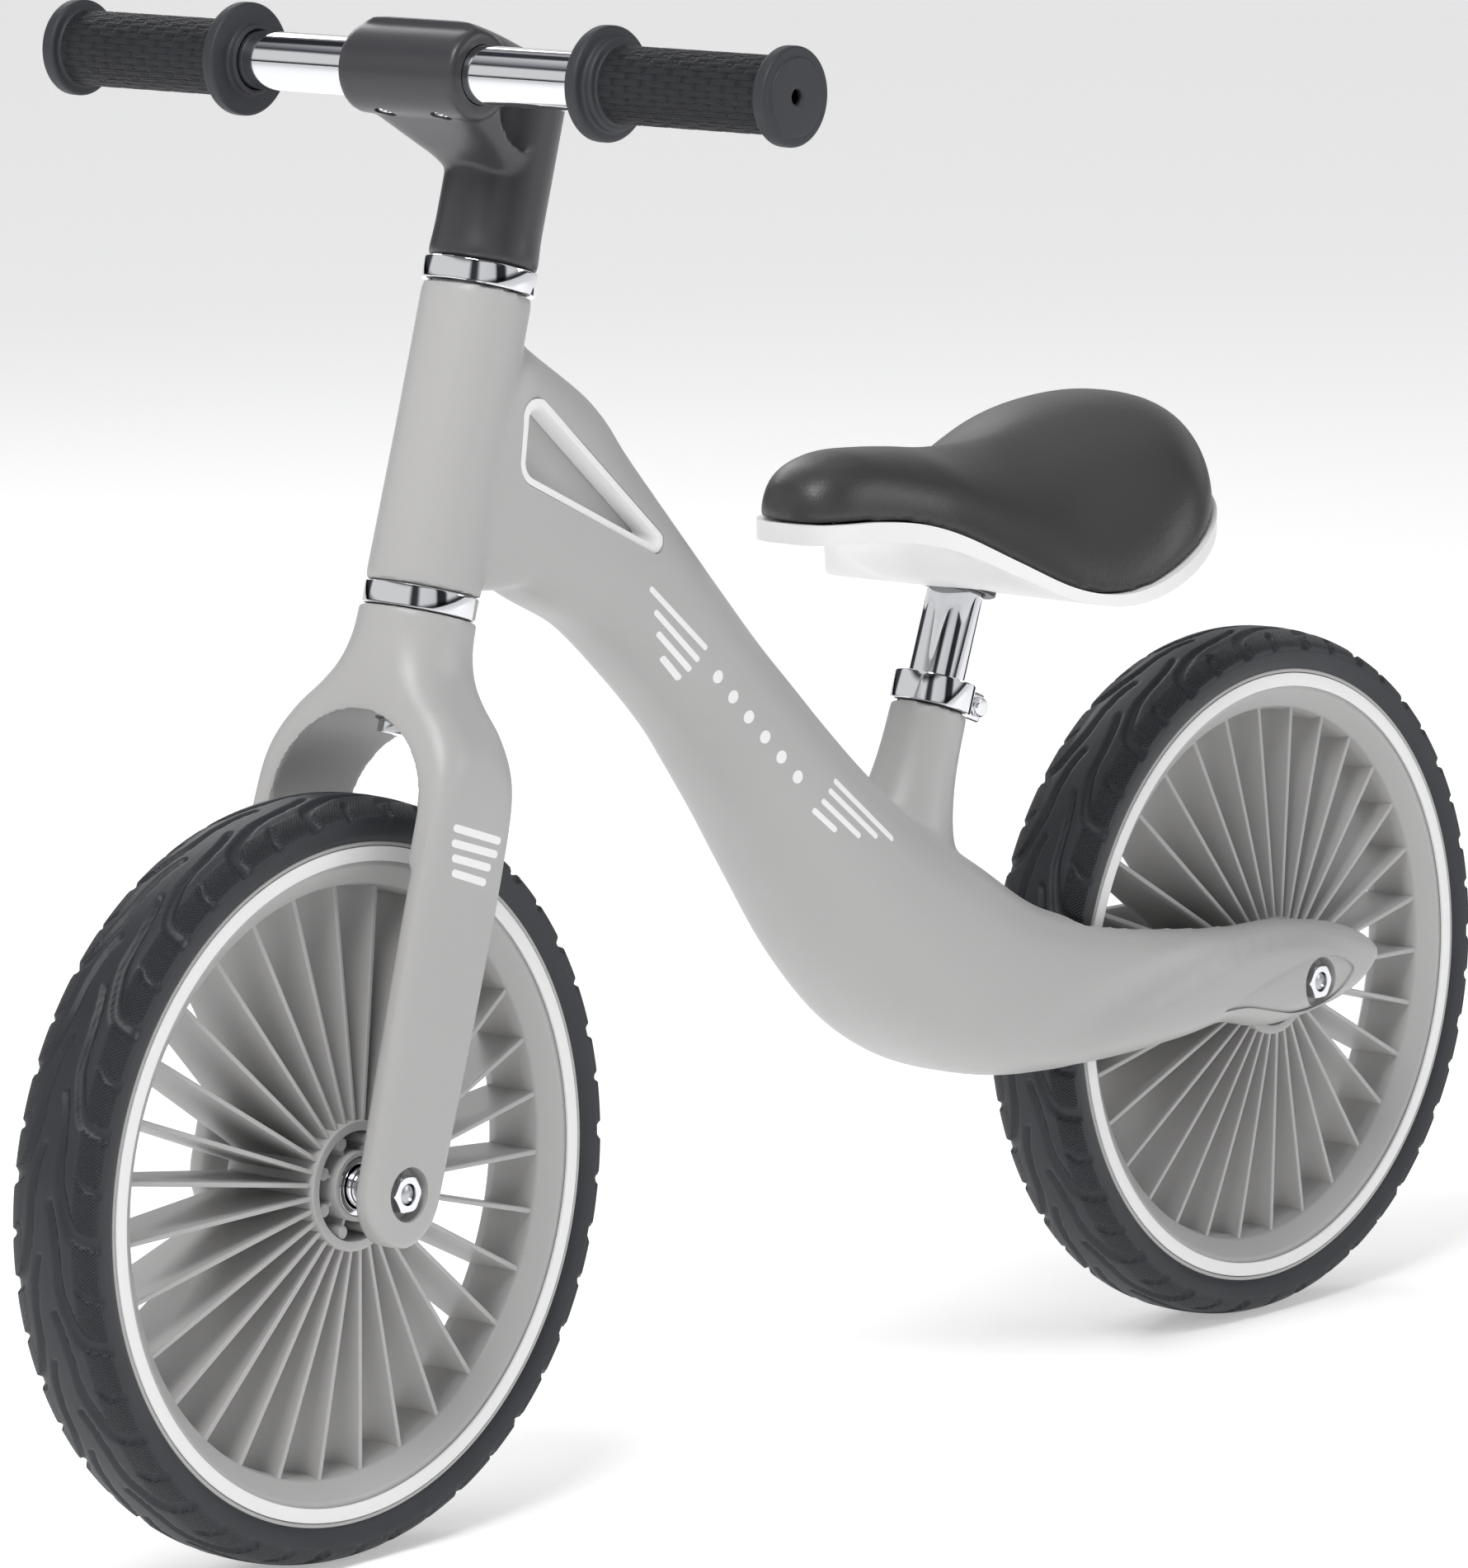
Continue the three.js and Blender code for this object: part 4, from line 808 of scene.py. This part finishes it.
bump = add_node(tree, "ShaderNodeBump", {"Strength": 1.0, "Distance": 0.0007}, [("Height", held, "Value")])
tree.links.new(bump.outputs["Normal"], surface.inputs["Normal"])
STRANDS = 36
CROSSING_PITCH = 13


def make_grip(name, side):
    """A grip with its flanges: a grid round the bar, with shallow grooves between the weave's cells."""
    profile = rounded([
        (2.8, 178.3), (11.4, 178.3), (11.4, 84), (13.2, 84), (13.2, 87.5), (21.5, 87.8), (21.5, 93.2),
        (17.3, 93.5), (17.3, 97.2), (14.6, 97.5), (14.6, 174.5), (18.4, 174.7), (18.4, 180.4), (14.5, 180.5),
        (14.2, 181.2), (2.8, 181.2), (2.8, 178.3),
    ], 1.4, 4)[:-1]
    closed = []
    for start, end in zip(profile, [*profile[1:], profile[0]]):
        pieces = max(1, round(float(np.linalg.norm(end - start)) / 0.6)) if min(start[0], end[0]) > 14 else 1
        closed += [start + (end - start) * i / pieces for i in range(pieces)]
    closed = np.array(closed)
    count = STRANDS * 6
    angle = 2 * math.pi * np.arange(count) / count
    body = ((closed[:, 1] > 98.6) & (closed[:, 1] < 173.6) & (closed[:, 0] > 14)).astype(float)
    along = (closed[:, 1] - 98.6) / CROSSING_PITCH
    around = (np.arange(count) + 0.5) / 6
    strand = np.floor(around)
    place_along = np.mod(along[None, :] + 0.5 * np.mod(strand, 2)[:, None], 1)
    from_crossing = np.abs(place_along - 0.5) * CROSSING_PITCH
    swell = 0.5 * np.clip((from_crossing - 0.9) / 2.2, 0, 1)
    edge = np.abs(around - strand - 0.5)[:, None]
    height = swell * np.sqrt(np.clip(1 - (edge / 0.5) ** 2, 0, 1)) + 0.25 * (from_crossing < 1) * (edge < 0.4)
    sink = (0.6 - height) * body[None, :]
    radius = closed[None, :, 0] - sink
    places = np.stack([radius * np.sin(angle)[:, None], np.ones((count, 1)) * closed[None, :, 1] * side,
                       radius * np.cos(angle)[:, None]], axis=-1)
    item = make_grid_mesh(name, (places + np.array(BAR_CENTRE)) * MM, True)
    field = np.stack([around[:, None] * np.ones((1, len(closed))), np.ones((count, 1)) * along[None, :],
                      np.ones((count, 1)) * body[None, :]], axis=-1)
    weave_field = item.data.attributes.new("weave", "FLOAT_VECTOR", "POINT")
    weave_field.data.foreach_set("vector", field.ravel().astype(np.float32))
    item.data.transform(STEERING)
    recalculate(item)
    bpy.ops.object.shade_smooth_by_angle(angle=math.radians(50))
    return item


for side_name, side in (("left", -1), ("right", 1)):
    grip = make_grip(f"rubber_grip_{side_name}", side)
    stands_for(grip, f"grip_{side_name}", rubber, "steering")

# ---- Frame ----
# One hollow moulding in grey nylon: the head tube, a beam that widens into a belly, the seat tube and
# the two stays, with a lens-shaped panel sunk round each axle nut. White trims sit in its windows.
HEAD_MIDDLE = STEERING @ Vector((0, 0, (HEAD_BOTTOM + HEAD_TOP) / 2 * MM)) / MM
REAR = REAR_AXLE / MM
BEAM_LINE = REAR - HEAD_MIDDLE
BEAM_UP = Vector((-BEAM_LINE.z, 0, BEAM_LINE.x)).normalized()
# Stations: share of the way from the head tube to the rear axle, rise, half height, half width,
# squareness.
BEAM = smooth_table([
    (0, -3, 45, 20.5, 3.4), (0.03, -3, 48, 21, 3.6), (0.084, 1, 41.5, 21.5, 3.5),
    (0.128, -2.1, 36.9, 21.8, 3.1),
    (0.186, -6.8, 31.2, 22.5, 2.7), (0.259, -17, 28, 24.5, 2.5), (0.319, -26.5, 27, 26, 2.4),
    (0.364, -34.5, 28, 28, 2.4), (0.415, -44, 29.7, 30.5, 2.4), (0.475, -55, 33, 34, 2.4),
    (0.546, -66, 37.5, 38, 2.5), (0.616, -71, 41, 41.5, 2.7), (0.684, -71, 38.5, 44, 3),
    (0.745, -61.7, 33, 45.5, 3.4), (0.803, -47.9, 28.3, 46, 4), (0.859, -32.3, 24.5, 46, 4.4),
    (0.905, -18.5, 21.5, 46, 4.4), (0.959, -5.8, 24, 46, 4.4), (1.019, 11.8, 19.5, 46, 4),
    (1.046, 21.9, 12.5, 46, 4),
    (1.059, 26.8, 5, 45, 3),
], 10)
# The hollow that sweeps along each stay above the nut: x, z of its middle line, half width, depth.
HOLLOW = smooth_table([
    (70, 146, 10, 0), (95, 146, 13, 0.6), (121, 149.5, 14, 1.8), (160, 157, 13, 3), (192, 163, 10.5, 3.2),
    (216, 166.4, 8, 2.8), (244, 167.3, 6, 2.2), (270, 166.2, 4.6, 1.7), (290, 162.5, 4, 1), (306, 156, 4, 0),
], 6)


def on_beam(along, rise):
    return HEAD_MIDDLE + BEAM_LINE * along + BEAM_UP * rise


def sink_hollow(rings):
    """Presses the swept hollow into the stays' outer faces."""
    x, z = rings[..., 0], rings[..., 2]
    depth = np.zeros_like(x)
    for a, h, half, deep in HOLLOW:
        gap = np.hypot(x - a, z - h) / half
        depth = np.maximum(depth, deep * np.clip(1 - gap * gap, 0, 1) ** 1.5)
    outside = np.clip((np.abs(rings[..., 1]) - 33) / 4, 0, 1)
    rings[..., 1] -= np.sign(rings[..., 1]) * depth * outside
    return rings


def beam_rings(inset, first=0):
    centres = np.array([on_beam(along, rise) for along, rise, *_ in BEAM])
    run = np.gradient(centres, axis=0)
    run /= np.linalg.norm(run, axis=1, keepdims=True)
    rings = []
    for centre, way, (_, _, tall, wide, square) in list(zip(centres, run, BEAM))[first:]:
        up = np.array((-way[2], 0, way[0])) * (tall - inset)
        rings.append(round_section(centre, up, (0, wide - inset, 0), square, 144))
    return sink_hollow(np.array(rings))


SEAT_FOOT = on_beam(0.591, -80.8)
SEATING = Matrix.Translation(SEAT_FOOT * MM) @ Matrix.Rotation(SEAT_LEAN, 4, "Y")
beam = skin("beam", beam_rings(0))
AT_REAR = Matrix.Translation(REAR_AXLE) @ LIES_ACROSS
cut(beam, turn("wheel_room", rod_profile(153, -31, 31), AT_REAR, 0, 180))
head_tube = turn("head_tube", [
    (0, HEAD_BOTTOM), (22, HEAD_BOTTOM), (21.7, HEAD_BOTTOM + 20), (21.2, (HEAD_BOTTOM + HEAD_TOP) / 2),
    (21, HEAD_TOP - 20), (21, HEAD_TOP), (0, HEAD_TOP),
], STEERING, 0, 128)
seat_tube = turn("seat_tube", [(r, h) for h, r in smooth_table([
    (8, 31.6), (25, 30.6), (42, 25.1), (56, 20.1), (70, 17.4), (84, 16.1), (101.5, 15.6),
], 5)] + [(0, 101.5)], SEATING, 0, 128)
pick(seat_tube)
bpy.ops.object.mode_set(mode="EDIT")
bpy.ops.mesh.select_all(action="SELECT")
bpy.ops.mesh.fill_holes(sides=0)
bpy.ops.mesh.normals_make_consistent(inside=False)
bpy.ops.object.mode_set(mode="OBJECT")
body = blend("frame_moulding", 1.9, 6, beam, head_tube, seat_tube)

WINDOW = [(0.035, 18.5, 8), (0.049, 5, 10.5), (0.187, 4.3, 4.6)]


def window_outline(inset):
    """The triangle with round corners of a window, its corners' circles drawn in by inset."""
    corners = [(on_beam(along, rise), radius - inset) for along, rise, radius in WINDOW]

    def out_of(a, b):
        return math.atan2(b.z - a.z, b.x - a.x) - math.pi / 2

    points = []
    for i, (centre, radius) in enumerate(corners):
        first = out_of(corners[i - 1][0], centre)
        sweep = (out_of(centre, corners[(i + 1) % 3][0]) - first) % (2 * math.pi)
        points += [(centre.x + radius * math.cos(first + sweep * k / 15),
                    centre.z + radius * math.sin(first + sweep * k / 15)) for k in range(16)]
    return points


LENS = [
    (219, 141.5), (238, 148.4), (254, 152.4), (268, 154.9), (280, 156), (291, 155.6), (300, 153.2),
    (306, 149.6),
    (307.2, 147.4), (305, 144.5), (297, 138.2), (284, 134), (269, 133.8), (253, 137), (236, 140.8),
]
lens_curve = smooth_table([*LENS, LENS[0]], 5)[:-1]
for low, high in ((-60, -38), (38, 60)):
    panel = extruded("panel", [tuple(p) for p in lens_curve], low, high)
    cut(panel, skin("core", beam_rings(1.0, 120)))
    cut(body, panel)
cut(body,
    turn("head_room", [
        (0, HEAD_BOTTOM - 2), (18.3, HEAD_BOTTOM - 2), (18.3, HEAD_BOTTOM + 8.8), (14.2, HEAD_BOTTOM + 8.8),
        (14.2, HEAD_TOP - 8.8), (18.3, HEAD_TOP - 8.8), (18.3, HEAD_TOP + 2), (0, HEAD_TOP + 2),
    ], STEERING, 0, 96),
    turn("post_room", rod_profile(13.3, 5, 104), SEATING, 0, 96),
    turn("axle_room",
         [(0, -60), (10.4, -60), (10.4, -38.9), (4.2, -38.9), (4.2, 38.9), (10.4, 38.9), (10.4, 60),
                       (0, 60)], AT_REAR, 0, 64),
    extruded("window", window_outline(0), -30, -12), extruded("window", window_outline(0), 12, 30))
finish_edges(body)
stands_for(body, "frame", grey_nylon, "frame")

for side_name, side in (("left", -1), ("right", 1)):
    trim = extruded(f"window_trim_{side_name}_moulding", window_outline(GAP),
                    *sorted((12.3 * side, 21 * side)))
    rim_line = np.array(window_outline(2.9))
    middle = rim_line.mean(axis=0)
    rings = [[(x, side * y, z) for x, z in middle + (rim_line - middle) * size]
             for y, size in ((22, 1.02), (21, 1), (20, 0.965), (18, 0.93), (15, 0.9), (11, 0.87))]
    cut(trim, skin("opening", rings))
    finish_edges(trim)
    stands_for(trim, f"window_trim_{side_name}", white_plastic, "frame")

# ---- Printed marks ----
# White ink, pad-printed on the beam and the fork legs: two sets of slanting bars with a row of dots
# between them, and a set of bars on each leg.
ink = moulded("white_pad_printing_ink", "#f4f4f4", "#efefef", 0.5, 0.6, 0.04)
beam_skin = BVHTree.FromObject(body, bpy.context.evaluated_depsgraph_get())
fork_skin = BVHTree.FromObject(fork, bpy.context.evaluated_depsgraph_get())


def print_shape(skin_of, outline, way, start):
    """A thin film of ink over a surface: an outline of points thrown along a way onto it."""
    rings = []
    middle = np.mean(outline, axis=0)
    film = bmesh.new()
    for size in np.linspace(1, 0, 4)[:-1]:
        ring = []
        for point in outline:
            aim = Vector(tuple(middle + (np.array(point) - middle) * size)) * MM + Vector(start) * MM
            hit, normal, _, _ = skin_of.ray_cast(aim, Vector(way), 0.2)
            ring.append(film.verts.new(hit + normal * 0.06 * MM))
        rings.append(ring)
    for outer, inner in zip(rings, rings[1:]):
        for i in range(len(outer)):
            n = (i + 1) % len(outer)
            film.faces.new((outer[i], outer[n], inner[n], inner[i]))
    film.faces.new(rings[-1])
    data = bpy.data.meshes.new("print")
    film.to_mesh(data)
    film.free()
    item = bpy.data.objects.new("print", data)
    bpy.context.scene.collection.objects.link(item)
    return item


def capsule(start, end, width):
    """The outline of a bar with round ends between two (x, z) points."""
    start, end = np.array(start, float), np.array(end, float)
    run = (end - start) / np.linalg.norm(end - start)
    turn_of = math.atan2(run[1], run[0])
    near, far = start + run * width / 2, end - run * width / 2
    points = [far + width / 2 * np.array((math.cos(turn_of + a), math.sin(turn_of + a)))
              for a in np.linspace(-math.pi / 2, math.pi / 2, 9)]
    side_count = max(2, round(float(np.linalg.norm(far - near)) / 3))
    across = np.array((-run[1], run[0])) * width / 2
    points += [far + across + (near - far) * t for t in np.linspace(0, 1, side_count + 1)[1:-1]]
    points += [near + width / 2 * np.array((math.cos(turn_of + a), math.sin(turn_of + a)))
               for a in np.linspace(math.pi / 2, 3 * math.pi / 2, 9)]
    points += [near - across + (far - near) * t for t in np.linspace(0, 1, side_count + 1)[1:-1]]
    return points


BARS = [
    ((-117.6, 352), (-86.5, 325)), ((-114.8, 342.7), (-90.5, 320.8)), ((-112.4, 334), (-93.9, 317.3)),
    ((-108, 324), (-97.3, 314)), ((-16.7, 266), (15.5, 238.4)), ((-20.2, 262.6), (5.8, 240.6)),
    ((-24.3, 259), (-4, 242)), ((-28.8, 255.8), (-16.7, 245.8)),
]
DOTS = [(-80 + 8.6 * i, 313.5 - 8.8 * i) for i in range(6)]
films = []
for side in (-1, 1):
    shapes = [capsule(start, end, 2.3) for start, end in BARS]
    shapes += [[(x + 2.6 * math.cos(a), z + 2.6 * math.sin(a)) for a in np.linspace(0, 2 * math.pi, 33)[:-1]]
               for x, z in DOTS]
    films += [print_shape(beam_skin, [(x, 0, z) for x, z in shape], (0, -side, 0), (0, side * 80, 0))
              for shape in shapes]
badge = join("beam_print", films)
leg_films = []
for side in (-1, 1):
    for start, end in (((-12.9, 136.6), (14.7, 135.6)), ((-12.4, 131), (14.2, 130.4)),
                       ((-10.8, 125.6), (11.8, 125)), ((-9.3, 120.2), (10.7, 119.2))):
        shape = [STEERING @ Vector((p * MM, 0, s * MM)) / MM for p, s in capsule(start, end, 3)]
        leg_films.append(print_shape(fork_skin, [tuple(v) for v in shape], (0, -side, 0), (0, side * 80, 0)))
leg_print = join("leg_print", leg_films)
for item, rider in ((badge, "frame"), (leg_print, "steering")):
    pick(item)
    wall = item.modifiers.new("film", "SOLIDIFY")
    wall.thickness, wall.offset = 0.16 * MM, -1
    bpy.ops.object.modifier_apply(modifier="film")
    item.data.materials.clear()
    item.data.materials.append(ink)
    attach(item, rider)

# ---- Seat clamp and post ----
# A chromed split clamp with a cross bolt squeezes a thin black sleeve round the chromed steel post.
# The black collar above it seats the saddle.
black_plastic = moulded("black_acetal_moulded", "#232325", "#1c1c1e", 0.38, 0.8, 0.06)
CLAMP_LOW, CLAMP_HIGH = 101.8, 113.8
POST_TOP = 161.1
POST_LOW = CLAMP_HIGH - 95
POST_RADIUS = 11.5
band = turn("seat_clamp_band", rod_profile(16.7, CLAMP_LOW, CLAMP_HIGH), Matrix.Identity(4), 0.8, 128)
ear = box_piece("ear", (12, 13, 12), (19.7, 0, (CLAMP_LOW + CLAMP_HIGH) / 2))
pick(ear)
bevel = ear.modifiers.new("edges", "BEVEL")
bevel.width, bevel.segments = 1.4 * MM, 3
bpy.ops.object.modifier_apply(modifier="edges")
grow = band.modifiers.new("ear", "BOOLEAN")
grow.operation, grow.solver, grow.object = "UNION", "EXACT", ear
pick(band)
bpy.ops.object.modifier_apply(modifier="ear")
bpy.data.objects.remove(ear)
AT_CLAMP_BOLT = Matrix.Translation(Vector((21.7, 0, (CLAMP_LOW + CLAMP_HIGH) / 2)) * MM) @ LIES_ACROSS
cut(band, turn("hole", rod_profile(13.3, 90, 120), Matrix.Identity(4), 0, 96),
    box_piece("slit", (20, 2, 24), (18.7, 0, 107.8)),
    turn("hole", rod_profile(2.8, -10, 10), AT_CLAMP_BOLT, 0, 32))
band.data.transform(SEATING)
finish_edges(band)
stands_for(band, "seat_clamp", chrome, "frame")
bolt = turn("seat_clamp_cross_bolt", [
    (0, -9.5), (3.3, -9.5), (4, -8.6), (4, -6.8), (2.5, -6.8), (2.5, 10), (0, 10),
], SEATING @ AT_CLAMP_BOLT, 0.3, 40)
stands_for(bolt, "seat_clamp_bolt", chrome, "frame")
nut = make_nut("seat_clamp_small_nut", 7, 6.8, 9.5, 2.8, SEATING @ AT_CLAMP_BOLT)
stands_for(nut, "seat_clamp_nut", chrome, "frame")
sleeve = turn("seat_tube_lining", ring_profile(11.8, 13, 30, CLAMP_HIGH), SEATING, 0.2, 96)
stands_for(sleeve, "seat_tube_sleeve", black_plastic, "frame")
post = turn("chromed_seat_post", ring_profile(9.7, POST_RADIUS, POST_LOW, POST_TOP), SEATING, 0.4, 96)
stands_for(post, "seat_post", chrome, "seat")
collar = turn("seat_post_black_collar", ring_profile(11.8, 16, POST_TOP - 10.5, POST_TOP - 2.5), SEATING, 1,
              96)
stands_for(collar, "seat_post_collar", black_plastic, "seat")

# ---- Saddle ----
# The base is a curved white shell. The pad is moulded foam under a fine-grained polyurethane skin,
# crowned behind and narrow at the nose, and stretched over the base's lip.
POST_END = SEATING @ Vector((0, 0, POST_TOP * MM)) / MM
# Stations along X: half width, lip, underside in the middle, crown, squareness of the pad.
SADDLE = smooth_table([
    (-112, 8, 28, 20.5, 36, 2.4), (-108, 17, 28, 20, 44, 2.4), (-98, 23.5, 28, 19.5, 50.5, 2.6),
    (-82, 27, 27.5, 17.5, 54, 2.5), (-62, 31, 25, 11, 53.5, 2.2), (-44, 37, 19, -1, 52, 2),
    (-26, 50, 8, -5.5, 50, 1.7), (-8, 64, -3, -8, 49.5, 1.55), (10, 72, -7, -11.5, 50, 1.55),
    (28, 76.5, -5, -10, 52.5, 1.7), (48, 78, 2, -4, 57.5, 1.9), (68, 74, 11.5, 5, 61.5, 2.1),
    (88, 61.5, 19.5, 12.5, 63, 2.2), (102, 45, 25, 18, 59, 2.3), (111, 27, 28, 20.5, 50, 2.3),
    (116.5, 10, 29, 22.5, 38, 2.3),
], 6)
SHELL_WALL = 3.5


def shell_height(station, y, thick, edge):
    x, width, lip, under, *_ = station
    share = np.minimum(np.abs(y) / width / 0.86, 1) ** 2
    share = share + (1 - share) * min(max((abs(x) - 94) / 14, 0), 1)
    return (under + thick) * (1 - share) + (lip - edge) * share


def lip_height(x):
    waist = max(0.0, 1 - abs(x) / 60)
    return (8 if x < 0 else 6.5) * (1 - waist) + 4.5 * waist


def shell_ring(station):
    x, width, lip = station[:3]
    edge = lip_height(x)
    y = np.linspace(-width, width, 61)
    under = np.stack([np.full(61, x), y, shell_height(station, y, 0, edge)], axis=1)
    top = np.stack([np.full(61, x), y, shell_height(station, y, SHELL_WALL, 0)], axis=1)
    return np.vstack([under[::-1], top])


def pad_ring(station):
    x, width, lip, _, crown, square = station
    y = np.linspace(2.2 - width, width - 2.2, 41)
    floor = np.maximum(lip, shell_height(station, y, SHELL_WALL, 0)) + GAP
    under = np.stack([np.full(41, x), y, floor], axis=1)
    angle = np.linspace(0, math.pi, 41)[1:-1]
    side, rise = (np.sign(v) * np.abs(v) ** (2 / square) for v in (np.cos(angle), np.sin(angle)))
    over = np.stack([np.full(39, x), (width - 2.2) * side, lip + GAP + (crown - lip - GAP) * rise], axis=1)
    return np.vstack([under, over])


ON_POST = Matrix.Translation(POST_END * MM)
LEANING = Matrix.Rotation(SEAT_LEAN, 4, "Y")
base = skin("saddle_shell", [shell_ring(s) for s in SADDLE])
cut(base, turn("room", rod_profile(16.3, -60, -2.2), LEANING, 0, 96))
socket = turn("socket", rod_profile(18.5, -2.2, 8), LEANING, 0, 96)
grow = base.modifiers.new("socket", "BOOLEAN")
grow.operation, grow.solver, grow.object = "UNION", "EXACT", socket
pick(base)
bpy.ops.object.modifier_apply(modifier="socket")
bpy.data.objects.remove(socket)
cut(base, turn("hole", [(0, -60), (11.8, -60), (11.8, 0.3), (3.3, 0.3), (3.3, 30), (0, 30)], LEANING, 0, 64))
base.data.transform(ON_POST)
finish_edges(base, 40)
stands_for(base, "saddle_base", white_plastic, "seat")

pad = skin("saddle_foam_pad", [pad_ring(s) for s in SADDLE])
pad = blend("saddle_foam_pad", 2.0, 5, pad)
cut(pad, turn("room", [(0, -60), (18.8, -60), (18.8, 8.3), (8, 8.3), (8, 13), (0, 13)], LEANING, 0, 64))
pad.data.transform(ON_POST)
finish_edges(pad, 40)
skin_material = moulded("polyurethane_skin", "#3c3b3b", "#343434", 0.4, 1.1, 0.35)
stands_for(pad, "saddle_pad", skin_material, "seat")

head = make_nut("saddle_hex_bolt", 10, 8.3, 12, 0, Matrix.Identity(4))
shank = turn("shank", threaded(3, -25, 9, 1), Matrix.Identity(4), 0, 32, 60)
bolt = join("saddle_hex_bolt", [head, shank])
bolt.data.transform(ON_POST @ LEANING)
stands_for(bolt, "saddle_bolt", zinc, "seat")
